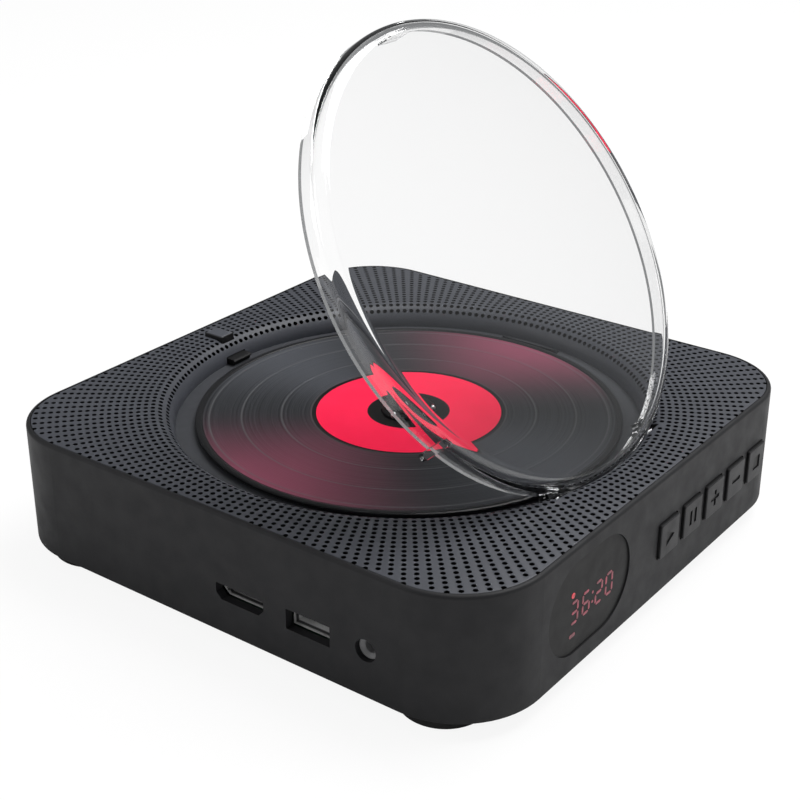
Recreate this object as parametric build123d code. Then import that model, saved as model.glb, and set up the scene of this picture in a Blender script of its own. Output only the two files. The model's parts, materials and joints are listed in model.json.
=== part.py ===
from build123d import *
import os
from math import acos, atan2, cos, degrees, pi, radians, sin, sqrt, tan

# Disc player with a round see-through lid, modelled in millimetres, +Z up.
# z = 0 is the surface that the feet stand on; x = y = 0 is the spindle axis.
# +X is the side with the display and the keys, and the lid's hinge.
# -Y is the side with the sockets; -X has the open button and the latch.

# ---------------------------------------------------------------- casing
BAND_W = 10.3              # flat band between the rolled edge and the casing's side
BODY_CORNER_R = 24.0       # plan radius of the four corners
BODY_HEIGHT = 35.0         # casing without the feet
WALL = 2.4                 # casing wall
TOP_EDGE_R = 1.0           # rounding of the casing's top rim
BOTTOM_EDGE_R = 0.5        # rounding of the casing's bottom rim
LIP = 1.2                  # width of the rim that frames the grille panel
SEAM = 0.15                # gap all round the grille panel
PANEL_T = 2.0              # grille panel and shoulder thickness
COVER_T = 2.4              # base cover thickness
COVER_GAP = 0.2            # gap all round the base cover

# ---------------------------------------------------------------- feet
FOOT_R = 12.0
FOOT_HEIGHT = 5.0          # how far a foot stands out below the casing
FOOT_EDGE_R = 2.0
FOOT_INSET_X = 21.5        # foot centres from the casing's sides
FOOT_INSET_Y = 15.5
FOOT_SEAT = 0.8            # depth of the shallow seat in the base cover
FOOT_GAP = 0.2

# ---------------------------------------------------------------- disc well
WELL_GAP = 5.7             # between the disc and the upright wall of the well
SHOULDER_R = 6.0           # the grille rolls down into the well with this radius
WELL_DEPTH = 6.5           # well floor below the casing's top
FLOOR_T = 1.8
FLOOR_REACH = 9.8          # the floor plate reaches out under the shoulder
SPINDLE_OPENING_R = 16.5
LENS_WINDOW_W = 21.0
EAR_R = 3.5                # screw ears of the floor plate
EAR_INSET = 0.5            # ear centres inside the floor plate's edge
EAR_ANGLES = (75, 105, 255, 285)

# ---------------------------------------------------------------- disc
DISC_R = 60.0
DISC_T = 1.2
DISC_HOLE_R = 7.5
DISC_DROP = 4.5            # disc's upper face below the casing's top

# ---------------------------------------------------------------- lid
LID_GAP = 1.0              # between the lid's rim and the upright wall
LID_WALL = 2.0
LID_EDGE_R = 4.0           # outer rounding between the rim and the face
LID_RIM = 3.36             # straight part of the rim
LID_DROP = 0.42            # open edge below the hinge axis
LID_OPEN_ANGLE = 56.4      # resting position against the open stop
HINGE_INSET = 1.94         # hinge axis, parallel to Y, inside the lid's rim
HINGE_DROP = 4.0           # hinge axis below the casing's top
RELIEF_GAP = 0.4           # between the open lid's lower edge and the rolled surface
LUG_R = 2.2                # hinge ears of the lid
LUG_START = 21.0           # inner side of an ear from the middle plane
LUG_W = 5.0
LUG_WEB = 4.8              # the ear's arm reaches this far into the lid
LUG_GAP = 0.5              # side gap of the ear in its pocket
LUG_SKIN = 0.6             # ear left over the pin's end
LUG_ROOM = 0.8             # gap behind the ear
PIN_R = 1.2
PIN_GAP = 0.05             # running clearance of the pin
PIN_END = 37.0             # outer end of a pin from the middle plane
TAB_ANGLE = 57.1           # finger tab that lifts the lid, from +X towards -Y
TAB_T = 2.0
TAB_H = 1.5
TAB_RISE = 0.3             # above the grille when the lid is closed
TAB_L = 10.6
TAB_SINK = 1.6             # the tab's root, inside the lid's rim
CATCH_W = 7.4
CATCH_T = 1.5
CATCH_STEP = 0.5           # ledge that the hook holds
CATCH_STEP_T = 0.7
CATCH_GAP = 0.3            # over the well floor, and round the hook's nose

# ---------------------------------------------------------------- hinge brackets and springs
BRACKET_START = 29.5
BRACKET_W = 3.5
BRACKET_WALL = 1.5
SHELL_GAP = 0.15           # gap between the brackets and the shoulder's underside
COIL_WIRE = 0.3
HINGE_COIL_R = 1.65        # mean radius of the spring on the pin
HINGE_COIL_L = 3.0
HINGE_COIL_TURNS = 5

# ---------------------------------------------------------------- open button and latch
BUTTON_SETBACK = 0.6       # button centre behind the rolled edge
BUTTON_L = 7.0
BUTTON_W = 5.2
BUTTON_RISE = 1.3          # above the grille
BUTTON_TRAVEL = 1.0
BUTTON_GAP = 0.3
BUTTON_EDGE_R = 0.5
FLANGE_T = 0.8
FLANGE_W = 10.4
FLANGE_REACH = 1.2         # beyond the button's cap
CAM_W = 2.8
CAM_L = 3.2
CAM_GAP = 0.15
CAM_RISE = 2.0             # the leg crosses the button's centre this far above the shoulder's centre
HOOK_W = 7.7
HOOK_GAP = 0.1             # between the hook's nose and the catch
HOOK_L = 4.2
HOOK_CHAMFER = 0.4
SLIDER_T = 1.8
SLIDER_LIFT = 0.2
SLIDER_NECK_W = 4.4
SLIDER_TAIL = 4.9          # behind the button's centre
BUTTON_COIL_R = 0.95
BUTTON_COIL_TURNS = 4
BUTTON_COIL_X = 0.85       # spring centres behind the button's centre
BUTTON_COIL_Y = 3.9

# ---------------------------------------------------------------- side keys
KEY_NAMES = ("play", "pause", "plus", "minus", "stop")
KEY_SIZE = 10.0
KEY_PITCH = 13.0
KEY_INSET = 26.5           # centre of the last key from the casing's side
KEY_Z = 16.4               # key centres above the casing's bottom
KEY_RISE = 0.9
KEY_TRAVEL = 0.6
KEY_GAP = 0.3
KEY_CORNER_R = 0.8
KEY_EDGE_R = 0.35
KEY_FLANGE = 0.8
KEY_FLANGE_T = 1.1
KEY_STEM_R = 1.5
SWITCH_SIDE = 6.0
SWITCH_T = 2.9
PLUNGER_R = 1.2
PLUNGER_L = 0.9
PLUNGER_GAP = 0.1          # left when a key is fully pressed

# ---------------------------------------------------------------- display
DISPLAY_INSET = 46.1       # display centre from the casing's side
DISPLAY_Z = 18.0           # above the casing's bottom
DISPLAY_W = 38.4
DISPLAY_H = 26.0
DISPLAY_RECESS = 0.4
WINDOW_T = 1.2
WINDOW_GAP = 0.1
WINDOW_LEDGE = 1.5
MODULE_W = 26.0
MODULE_H = 14.0
MODULE_GAP = 0.1

# ---------------------------------------------------------------- sockets
HDMI_PITCH = 22.0          # from the middle of the next socket
HDMI_Z = 12.35             # above the casing's bottom
HDMI_W = 15.7
HDMI_H = 4.5
HDMI_CHAMFER = 1.7
HDMI_L = 11.0
HDMI_BACK = 2.0            # closed end of the socket
TONGUE_SIDE = 2.0          # room beside the tongue
TONGUE_T = 1.0
USB_PITCH = 17.65          # from the middle of the next socket
USB_Z = 12.75
USB_W = 13.7
USB_H = 5.7
USB_L = 14.0
USB_BACK = 3.0
USB_TONGUE_SIDE = 1.2
USB_TONGUE_T = 1.8
USB_TONGUE_RISE = 0.8
JACK_INSET = 33.5          # from the casing's side
JACK_Z = 13.45
JACK_HOLE_R = 3.05
JACK_BORE_R = 1.8
JACK_SETBACK = 1.5
JACK_COUNTERSINK = 0.8
JACK_BODY_W = 8.0
JACK_BODY_H = 7.2
JACK_BODY_L = 14.0
JACK_END_T = 1.0
PORT_GAP = 0.3             # between a hole in the casing and the socket behind it
SHELL_T = 0.4
TONGUE_SETBACK = 1.5
STAND_SETBACK = 3.0        # the sockets' stands start this far behind their mouths

# ---------------------------------------------------------------- boards
BOARD_T = 1.6
BOARD_TOP = 9.8            # main board's upper face above the casing's bottom
BOARD_W = 70.0
BOARD_GAP = 0.9            # between the board and a screw boss
BOARD_WALL_GAP = 1.1
BOARD_CHASSIS_GAP = 4.0
BOARD_SCREW_LEFT = 5.0     # screws from the board's left, right and inner edges
BOARD_SCREW_RIGHT = 4.0
BOARD_SCREW_NEAR = 4.5
BOARD_SCREW_FAR = 32.0
BOARD_POST_R = 3.0
CHIPS = (                  # centre from the left and inner edges, side along X and Y, height
    (19.0, 18.0, 12.0, 12.0, 1.4),
    (42.0, 20.0, 9.0, 7.0, 1.2),
    (58.0, 22.0, 6.0, 6.0, 1.2),
    (34.0, 6.0, 5.0, 8.0, 3.0),
)
FRONT_BOARD_INSET = 11.5   # from the casing's side
FRONT_BOARD_LEFT = 20.1    # past the display's centre
FRONT_BOARD_RIGHT = 6.0    # past the last key's centre
FRONT_BOARD_Z0 = 3.4       # above the casing's bottom
FRONT_BOARD_Z1 = 25.0
SLOT_GAP = 0.15
SLOT_RIB_T = 1.4
SLOT_RIB_W = 8.0
SLOT_DEPTH = 3.0
SLOT_Y = (-50.0, 0.0, 50.0)

# ---------------------------------------------------------------- drive chassis
CHASSIS_T = 2.0
CHASSIS_DROP = 3.7         # chassis' upper face below the well floor's underside
CHASSIS_X0 = -36.0
CHASSIS_Y0 = -20.0
CHASSIS_EDGE_X = 2.4       # past the sled motor
CHASSIS_EDGE_Y = 0.4       # past the rods' supports
MOUNT_INSET = 5.5          # mounting points from the chassis' edges
MOUNT_INSET_RIGHT = 6.5
GROMMET_R = 5.2
GROMMET_NECK_R = 3.9
GROMMET_BORE_R = 1.8
GROMMET_BELOW = 3.5
GROMMET_ABOVE = 1.8
MOUNT_POST_R = 4.0
SLED_WINDOW_X = 14.8
SLED_WINDOW_GAP = 0.6
LUG_T = 3.0
ROD_LUG_W = 4.4
ROD_LUG_SKIN = 0.6         # left beyond a rod's end

# ---------------------------------------------------------------- spindle
SHAFT_R = 1.0
SHAFT_RISE = 1.0           # above the disc's seat
SPINDLE_CAN_R = 12.2
SPINDLE_CAN_H = 12.6
SPINDLE_BOSS_R = 3.0
SPINDLE_BOSS_RISE = 0.4    # above the chassis
SPINDLE_EDGE_R = 1.0
SPINDLE_END_T = 1.0        # closed end of the motor
TABLE_R = 15.0
TABLE_T = 1.1
HUB_R = 7.3
HUB_RISE = 2.9
HUB_CHAMFER = 1.2
HUB_NECK_R = 4.0
HUB_NECK_LIFT = 1.0        # above the chassis
BALL_R = 0.9
BALL_RING_R = 6.5
BALL_Z = 1.9               # above the disc's seat

# ---------------------------------------------------------------- pickup and its drive
ROD_R = 1.5
ROD_X = 17.0
ROD_DROP = 3.0             # rod centre below the chassis' underside
SLED_FIRST_R = 23.0        # lens radius at the start of the disc
SLED_LAST_INSET = 1.0      # lens at the end of its travel, inside the disc's edge
SLED_FRONT = 9.0           # sled in front of and behind the lens
SLED_BACK = 14.0
SLED_HALF_W = 14.0
SLED_BOTTOM = 5.5          # below the chassis' underside
SLED_RISE = 2.4            # above the chassis' upper face
ARM_W = 5.5
ARM_H = 5.0
ARM_SETBACK = 2.0
YOKE_X = 7.2
YOKE_T = 1.6
YOKE_H = 1.4
HOLDER_W = 12.0
HOLDER_L = 9.0
HOLDER_T = 1.4
HOLDER_GAP = 0.5
HOLDER_CORNER_R = 1.2
LENS_R = 2.2
LENS_SEAT = 0.4            # ring of the holder that carries the lens
LENS_RISE = 0.7
GEAR_MODULE = 0.5
PRESSURE_ANGLE = 20.0
BACKLASH = 0.12            # taken off each tooth's thickness
MESH_GAP = 0.05            # added to each centre distance
RACK_TEETH_X = 22.0        # rack's pitch line
RACK_H = 2.4
RACK_BACK = 2.6
RACK_SPARE = 2.0           # rack beyond the gear at both ends of the travel
PINION_TEETH = 12
WHEEL_TEETH = 48
MOTOR_PINION_TEETH = 10
GEAR_Y = 37.0
WHEEL_T = 1.8
WHEEL_GAP = 1.0            # wheel under the sled's middle
GEAR_BORE_GAP = 0.05
AXLE_R = 1.0
AXLE_HEAD_R = 1.8
AXLE_HEAD_T = 0.8
AXLE_GAP = 0.3
SLED_MOTOR_R = 10.0
SLED_MOTOR_H = 11.4
SLED_MOTOR_FLANGE = 1.2
SLED_MOTOR_FLANGE_T = 1.0
SLED_MOTOR_ROOM = 0.5      # under the well floor
SLED_SHAFT_R = 0.75

# ---------------------------------------------------------------- speakers, battery, small parts
SPEAKER_R = 12.0
SPEAKER_TUCK = 1.5         # the baskets taper past the floor plate's edge
SPEAKER_ANGLES = (135, 225)
SPEAKER_DEPTH = 9.2
BASKET_T = 1.0
BASKET_FOOT = 0.6          # wall round the magnet
CONE_GLUE_R = 2.4          # middle of the cone, glued to the basket
CONE_RIM_T = 0.7
CONE_FOLD_W = 1.8
CONE_CAP_R = 3.4
CONE_RISE = 3.0
CONE_SKIN = 1.2
CAP_RISE = 1.2
MAGNET_R = 7.5
MAGNET_H = 4.8
MAGNET_CHAMFER = 0.6
BATTERY_R = 9.1
BATTERY_L = 65.0
BATTERY_EDGE_R = 0.6
BATTERY_INSET = 21.6       # from the casing's inner face
CRADLE_WALL = 1.5
CRADLE_GAP = 0.2
CRADLE_H = 6.6
KEYHOLE_X = -40.0          # centres of the two wide openings
KEYHOLE_SPACING = 80.0
KEYHOLE_R = 4.0
KEYHOLE_SLOT_R = 2.1
KEYHOLE_SLOT_L = 9.0
BASE_SCREW_R = 1.25
BASE_SCREW_HEAD_R = 2.6
BASE_SCREW_HEAD_T = 1.8
BASE_SCREW_L = 9.5
BASE_BOSS_R = 3.6
BASE_BOSS_TOP = 17.0       # above the casing's bottom
BASE_BOSS_CAP = 1.0
COVER_PAD_T = 2.0
COVER_PAD_R = 5.0
RIB_T = 1.6
SCREW_GAP = 0.1
WELL_SCREW_R = 0.9
WELL_SCREW_HEAD_R = 1.9
WELL_BOSS_R = 2.9
WELL_SCREW_HEAD_T = 1.1
BOARD_SCREW_R = 1.0
BOARD_SCREW_HEAD_R = 2.0
BOARD_SCREW_HEAD_T = 1.2
BOARD_SCREW_L = 4.5
MECH_SCREW_R = 1.4
MECH_SCREW_HEAD_R = 4.0
MECH_SCREW_HEAD_T = 1.3
MECH_SCREW_L = 13.0

# ---------------------------------------------------------------- heights and places that follow
WELL_R = DISC_R + WELL_GAP                    # upright wall of the well
ROLL_R = WELL_R + SHOULDER_R
FLOOR_R = WELL_R + FLOOR_REACH
EAR_RING_R = FLOOR_R - EAR_INSET
HALF = ROLL_R + BAND_W
BODY_SIDE = 2 * HALF
INNER = HALF - WALL                           # casing's inner face from the middle
LID_R = WELL_R - LID_GAP
HINGE_X = LID_R - HINGE_INSET
TAB_X = (LID_R - TAB_SINK) * cos(radians(TAB_ANGLE))
TAB_FROM = (LID_R - TAB_SINK) * sin(radians(TAB_ANGLE))
BUTTON_X = -(ROLL_R + BUTTON_SETBACK)
FOOT_X = HALF - FOOT_INSET_X
FOOT_Y = HALF - FOOT_INSET_Y
JACK_X = HALF - JACK_INSET
USB_X = JACK_X - USB_PITCH
HDMI_X = USB_X - HDMI_PITCH
DISPLAY_Y = -HALF + DISPLAY_INSET
FRONT_BOARD_X = HALF - FRONT_BOARD_INSET
BATTERY_X = -INNER + BATTERY_INSET
SPEAKER_RING_R = FLOOR_R + SPEAKER_R - SPEAKER_TUCK
Z_BOTTOM = FOOT_HEIGHT
Z_TOP = Z_BOTTOM + BODY_HEIGHT
Z_PANEL = Z_TOP - PANEL_T                     # underside of the grille panel
Z_ROLL = Z_TOP - SHOULDER_R                   # centre of the shoulder's rolling
Z_FLOOR = Z_TOP - WELL_DEPTH
Z_FLOOR_UNDER = Z_FLOOR - FLOOR_T
Z_COVER = Z_BOTTOM + COVER_T                  # inner face of the base cover
Z_DISC = Z_TOP - DISC_DROP - DISC_T           # seat of the disc
HINGE_Z = Z_TOP - HINGE_DROP
Z_RIM = HINGE_Z - LID_DROP                    # lid's open edge when it is closed
Z_LID_TOP = Z_RIM + LID_RIM + LID_EDGE_R
Z_CHASSIS = Z_FLOOR_UNDER - CHASSIS_DROP
Z_CHASSIS_UNDER = Z_CHASSIS - CHASSIS_T
Z_ROD = Z_CHASSIS_UNDER - ROD_DROP
Z_WHEEL = Z_ROD - SLED_BOTTOM / 2 - WHEEL_T - WHEEL_GAP
Z_BOARD = Z_BOTTOM + BOARD_TOP
KEY_YS = [HALF - KEY_INSET - KEY_PITCH * i for i in reversed(range(len(KEY_NAMES)))]
Z_KEY = Z_BOTTOM + KEY_Z
Z_DISPLAY = Z_BOTTOM + DISPLAY_Z
SIDES = (-1, 1)
OVER = 1.0                                    # cuts and joins reach this far past a face
HINGE_AXIS = Axis((HINGE_X, 0, HINGE_Z), (0, 1, 0))
GEAR_X = RACK_TEETH_X + GEAR_MODULE * PINION_TEETH / 2 + MESH_GAP
SLED_MOTOR_X = GEAR_X + GEAR_MODULE * (WHEEL_TEETH + MOTOR_PINION_TEETH) / 2 + MESH_GAP
SLED_TRAVEL = DISC_R - SLED_LAST_INSET - SLED_FIRST_R
SLED_Y0 = SLED_FIRST_R - SLED_FRONT           # sled at the start of its travel
SLED_Y1 = SLED_FIRST_R + SLED_BACK
RUN_Y0 = SLED_Y0 - SLED_WINDOW_GAP            # opening that the sled runs in
RUN_Y1 = SLED_Y1 + SLED_TRAVEL + SLED_WINDOW_GAP
CHASSIS_X1 = SLED_MOTOR_X + SLED_MOTOR_R + CHASSIS_EDGE_X
CHASSIS_Y1 = RUN_Y1 + LUG_T + CHASSIS_EDGE_Y
MOUNT_X = (CHASSIS_X0 + MOUNT_INSET, CHASSIS_X1 - MOUNT_INSET_RIGHT)
MOUNT_Y = (CHASSIS_Y0 + MOUNT_INSET, CHASSIS_Y1 - MOUNT_INSET)
BOARD_X1 = FOOT_X - BASE_BOSS_R - BOARD_GAP
BOARD_X0 = BOARD_X1 - BOARD_W
BOARD_Y0 = -INNER + BOARD_WALL_GAP
BOARD_Y1 = CHASSIS_Y0 - BOARD_CHASSIS_GAP
BOARD_SCREW_X = (BOARD_X0 + BOARD_SCREW_LEFT, BOARD_X1 - BOARD_SCREW_RIGHT)
BOARD_SCREW_Y = (BOARD_Y1 - BOARD_SCREW_FAR, BOARD_Y1 - BOARD_SCREW_NEAR)
FRONT_BOARD_Y0 = DISPLAY_Y - FRONT_BOARD_LEFT
FRONT_BOARD_Y1 = KEY_YS[-1] + FRONT_BOARD_RIGHT
FOOT_PLACES = [(FOOT_X * i, FOOT_Y * j) for i in SIDES for j in SIDES]
MOUNT_PLACES = [(x, y) for x in MOUNT_X for y in MOUNT_Y]
BOARD_SCREW_PLACES = [(x, y) for x in BOARD_SCREW_X for y in BOARD_SCREW_Y]
SPEAKER_PLACES = [
    (SPEAKER_RING_R * cos(radians(a)), SPEAKER_RING_R * sin(radians(a)))
    for a in SPEAKER_ANGLES
]
EAR_PLACES = [
    (EAR_RING_R * cos(radians(a)), EAR_RING_R * sin(radians(a)))
    for a in EAR_ANGLES
]


# ---------------------------------------------------------------- basic solids
def block(x0, x1, y0, y1, z0, z1):
    size = Box(x1 - x0, y1 - y0, z1 - z0, align=(Align.MIN, Align.MIN, Align.MIN))
    return Pos(x0, y0, z0) * size


def mirrored_block(x0, x1, y0, y1, z0, z1, side):
    """A block whose Y range is given from the middle plane, on one side of it."""
    low, high = sorted((y0 * side, y1 * side))
    return block(x0, x1, low, high, z0, z1)


def post(x, y, radius, z0, z1):
    disc = Cylinder(radius, z1 - z0, align=(Align.CENTER, Align.CENTER, Align.MIN))
    return Pos(x, y, z0) * disc


def bar_y(x, z, radius, y0, y1):
    """A round bar along Y."""
    disc = Cylinder(radius, abs(y1 - y0))
    return Pos(x, (y0 + y1) / 2, z) * Rot(90, 0, 0) * disc


def bar_x(y, z, radius, x0, x1):
    """A round bar along X."""
    disc = Cylinder(radius, abs(x1 - x0))
    return Pos((x0 + x1) / 2, y, z) * Rot(0, 90, 0) * disc


def rounded_square(side, corner, z0, z1):
    return Pos(0, 0, z0) * extrude(RectangleRounded(side, side, corner), z1 - z0)


def turned(points):
    """A solid of revolution about Z from (radius, z) corner points."""
    outline = Polyline(*points, close=True)
    return revolve(Plane.XZ * make_face(outline), Axis.Z)


def grouped(shapes):
    """Separate solids that share one file."""
    return Compound(children=list(shapes))


def bottom_edges(shape):
    return shape.edges().group_by(Axis.Z)[0]


def top_edges(shape):
    return shape.edges().group_by(Axis.Z)[-1]


def screw(x, y, z_seat, shaft_r, head_r, head_t, length, up):
    """A pan-head screw: its head stands on z_seat and its shaft points up or down."""
    way = 1 if up else -1
    head = post(x, y, head_r, *sorted((z_seat, z_seat - way * head_t)))
    shaft = post(x, y, shaft_r, *sorted((z_seat, z_seat + way * length)))
    return head + shaft


def coil(mean_r, wire_d, length, turns):
    """A round-wire helical spring standing on z = 0."""
    rise = length - wire_d
    path = Helix(rise / turns, rise, mean_r)
    start = path.position_at(0)
    section = Plane(start, z_dir=path.tangent_at(0)) * Circle(wire_d / 2)
    return Pos(0, 0, wire_d / 2) * sweep(section, path, is_frenet=True)


# ---------------------------------------------------------------- casing
def shoulder_ring(radius, z_low):
    """Everything inside the rolled surface of this radius, down to z_low."""
    centre = (ROLL_R, Z_ROLL)
    middle = (centre[0] - radius * cos(pi / 4), centre[1] + radius * sin(pi / 4))
    roll = ThreePointArc((centre[0], Z_ROLL + radius), middle, (centre[0] - radius, Z_ROLL))
    rest = Polyline((centre[0] - radius, Z_ROLL), (centre[0] - radius, z_low),
                    (centre[0], z_low), (centre[0], Z_ROLL + radius))
    return revolve(Plane.XZ * make_face([roll, rest]), Axis.Z)


def space_behind_shoulder():
    """The hidden room under the panel and outside the shoulder, less a small gap."""
    radius = SHOULDER_R - PANEL_T - SHELL_GAP
    outer = post(0, 0, HALF * 2, Z_FLOOR, Z_ROLL + radius) - post(0, 0, ROLL_R, Z_FLOOR, Z_TOP)
    return shoulder_ring(radius, Z_FLOOR) + outer


def hdmi_outline(inset, plane):
    half_w = HDMI_W / 2 - inset
    low = -HDMI_H / 2 + inset
    high = HDMI_H / 2 - inset
    cut = HDMI_CHAMFER
    corners = [(-half_w, high), (half_w, high), (half_w, low + cut), (half_w - cut, low),
               (-half_w + cut, low), (-half_w, low + cut)]
    return plane * make_face(Polyline(*corners, close=True))


def port_plane(x, z, y):
    """A plane facing -Y at a socket, with X to the right and Z up."""
    return Plane((x, y, Z_BOTTOM + z), x_dir=(1, 0, 0), z_dir=(0, -1, 0))


def stadium(x, inset, depth):
    """The display's outline, cut or filled from x towards the inside."""
    outline = SlotOverall(DISPLAY_W - 2 * inset, DISPLAY_H - 2 * inset)
    plane = Plane((x, DISPLAY_Y, Z_DISPLAY), x_dir=(0, 1, 0), z_dir=(1, 0, 0))
    return extrude(plane * outline, -depth)


def key_prism(y, margin, x0, x1):
    side = KEY_SIZE + 2 * margin
    outline = RectangleRounded(side, side, KEY_CORNER_R)
    plane = Plane((x0, y, Z_KEY), x_dir=(0, 1, 0), z_dir=(1, 0, 0))
    return extrude(plane * outline, x1 - x0)


def housing_shell():
    shell = rounded_square(BODY_SIDE, BODY_CORNER_R, Z_BOTTOM, Z_TOP)
    shell = fillet(top_edges(shell), TOP_EDGE_R)
    shell = fillet(bottom_edges(shell), BOTTOM_EDGE_R)
    shell -= rounded_square(2 * INNER, BODY_CORNER_R - WALL, Z_BOTTOM - OVER, Z_TOP + OVER)
    shell -= rounded_square(BODY_SIDE - 2 * LIP, BODY_CORNER_R - LIP, Z_PANEL, Z_TOP + OVER)
    for x, y in FOOT_PLACES:
        wall_y = INNER + WALL / 2 if y > 0 else -INNER - WALL / 2
        low, high = sorted((y, wall_y))
        z0 = Z_COVER + COVER_PAD_T
        z1 = Z_BOTTOM + BASE_BOSS_TOP
        boss = post(x, y, BASE_BOSS_R, z0, z1) + block(x - RIB_T / 2, x + RIB_T / 2, low, high, z0, z1)
        boss -= post(x, y, BASE_SCREW_R + SCREW_GAP, z0 - OVER, z1 - BASE_BOSS_CAP)
        shell += boss
    reach = 2 * WALL
    shell -= extrude(hdmi_outline(0, port_plane(HDMI_X, HDMI_Z, -HALF + reach)), reach + OVER)
    shell -= extrude(port_plane(USB_X, USB_Z, -HALF + reach) * Rectangle(USB_W, USB_H), reach + OVER)
    shell -= bar_y(JACK_X, Z_BOTTOM + JACK_Z, JACK_HOLE_R, -HALF - OVER, -HALF + reach)
    shell -= stadium(HALF + OVER, 0, DISPLAY_RECESS + WINDOW_T + OVER)
    shell -= stadium(HALF + OVER, WINDOW_LEDGE, reach + OVER)
    for y in KEY_YS:
        shell -= key_prism(y, KEY_GAP, HALF - reach, HALF + OVER)
    return shell


def grille_panel():
    side = BODY_SIDE - 2 * (LIP + SEAM)
    panel = rounded_square(side, BODY_CORNER_R - LIP - SEAM, Z_PANEL, Z_TOP)
    panel -= post(0, 0, ROLL_R, Z_PANEL - OVER, Z_TOP + OVER)
    panel += shoulder_ring(SHOULDER_R, Z_FLOOR) - shoulder_ring(SHOULDER_R - PANEL_T, Z_FLOOR - OVER)
    for x, y in EAR_PLACES:
        panel += post(x, y, WELL_BOSS_R, Z_FLOOR, Z_PANEL + PANEL_T / 2)
        panel -= post(x, y, WELL_SCREW_R + SCREW_GAP, Z_FLOOR - OVER, Z_PANEL + PANEL_T / 2)
    hole_l = BUTTON_L / 2 + BUTTON_GAP
    hole_w = BUTTON_W / 2 + BUTTON_GAP
    panel -= block(BUTTON_X - hole_l, BUTTON_X + hole_l, -hole_w, hole_w, Z_ROLL, Z_TOP + OVER)
    hook_w = HOOK_W / 2 + BUTTON_GAP
    hook_top = Z_FLOOR + SLIDER_LIFT + SLIDER_T + BUTTON_GAP
    panel -= block(-ROLL_R, 0, -hook_w, hook_w, Z_FLOOR - OVER, hook_top)
    back_x = HINGE_X + LUG_R + LUG_ROOM
    for side in SIDES:
        panel -= mirrored_block(0, back_x, LUG_START - LUG_GAP, LUG_START + LUG_W + LUG_GAP,
                                Z_FLOOR - OVER, Z_TOP + OVER, side)
        panel -= bar_y(HINGE_X, HINGE_Z, PIN_R + BUTTON_GAP, side * LUG_START, side * PIN_END)
    return panel


def well_floor():
    floor = post(0, 0, FLOOR_R, Z_FLOOR_UNDER, Z_FLOOR)
    for x, y in EAR_PLACES:
        floor += post(x, y, EAR_R, Z_FLOOR_UNDER, Z_FLOOR)
        floor -= post(x, y, WELL_SCREW_R + SCREW_GAP, Z_FLOOR_UNDER - OVER, Z_FLOOR + OVER)
    floor -= post(0, 0, SPINDLE_OPENING_R, Z_FLOOR_UNDER - OVER, Z_FLOOR + OVER)
    half = LENS_WINDOW_W / 2
    end = SLED_FIRST_R + SLED_TRAVEL + HOLDER_L / 2 + 1
    floor -= block(-half, half, 0, end, Z_FLOOR_UNDER - OVER, Z_FLOOR + OVER)
    return floor


def base_cover():
    side = 2 * (INNER - COVER_GAP)
    cover = rounded_square(side, BODY_CORNER_R - WALL - COVER_GAP, Z_BOTTOM, Z_COVER)
    for x, y in FOOT_PLACES:
        cover += post(x, y, COVER_PAD_R, Z_BOTTOM, Z_COVER + COVER_PAD_T)
        cover -= post(x, y, FOOT_R + FOOT_GAP, Z_BOTTOM - OVER, Z_BOTTOM + FOOT_SEAT)
        cover -= post(x, y, BASE_SCREW_HEAD_R + SCREW_GAP, Z_BOTTOM,
                      Z_BOTTOM + FOOT_SEAT + BASE_SCREW_HEAD_T + SCREW_GAP)
        cover -= post(x, y, BASE_SCREW_R + SCREW_GAP, Z_BOTTOM, Z_COVER + COVER_PAD_T + OVER)
    for x, y in BOARD_SCREW_PLACES:
        cover += post(x, y, BOARD_POST_R, Z_BOTTOM + COVER_T / 2, Z_BOARD - BOARD_T)
        cover -= post(x, y, BOARD_SCREW_R + SCREW_GAP, Z_COVER, Z_BOARD)
    for x, y in MOUNT_PLACES:
        cover += post(x, y, MOUNT_POST_R, Z_BOTTOM + COVER_T / 2, Z_CHASSIS_UNDER - GROMMET_BELOW)
        cover -= post(x, y, MECH_SCREW_R + SCREW_GAP, Z_COVER, Z_CHASSIS)
    inner = FRONT_BOARD_X - SLOT_GAP
    outer = FRONT_BOARD_X + BOARD_T + SLOT_GAP
    for y in SLOT_Y:
        y0 = y - SLOT_RIB_W / 2
        y1 = y + SLOT_RIB_W / 2
        z1 = Z_BOTTOM + FRONT_BOARD_Z0 + SLOT_DEPTH
        cover += block(inner - SLOT_RIB_T, outer + SLOT_RIB_T, y0, y1, Z_BOTTOM + COVER_T / 2, z1)
        cover -= block(inner, outer, y0 - OVER, y1 + OVER, Z_BOTTOM + FRONT_BOARD_Z0, z1 + OVER)
    for side in SIDES:
        y = side * KEYHOLE_SPACING / 2
        cover -= post(KEYHOLE_X, y, KEYHOLE_R, Z_BOTTOM - OVER, Z_COVER + OVER)
        cover -= post(KEYHOLE_X - KEYHOLE_SLOT_L, y, KEYHOLE_SLOT_R, Z_BOTTOM - OVER, Z_COVER + OVER)
        cover -= block(KEYHOLE_X - KEYHOLE_SLOT_L, KEYHOLE_X, y - KEYHOLE_SLOT_R, y + KEYHOLE_SLOT_R,
                       Z_BOTTOM - OVER, Z_COVER + OVER)
    return cover


def foot(x, y):
    pad = post(x, y, FOOT_R, 0, Z_BOTTOM + FOOT_SEAT)
    return fillet(bottom_edges(pad), FOOT_EDGE_R)


def base_screws():
    seat = Z_BOTTOM + FOOT_SEAT + BASE_SCREW_HEAD_T
    return grouped(
        screw(x, y, seat, BASE_SCREW_R, BASE_SCREW_HEAD_R, BASE_SCREW_HEAD_T, BASE_SCREW_L, True)
        for x, y in FOOT_PLACES
    )


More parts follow.
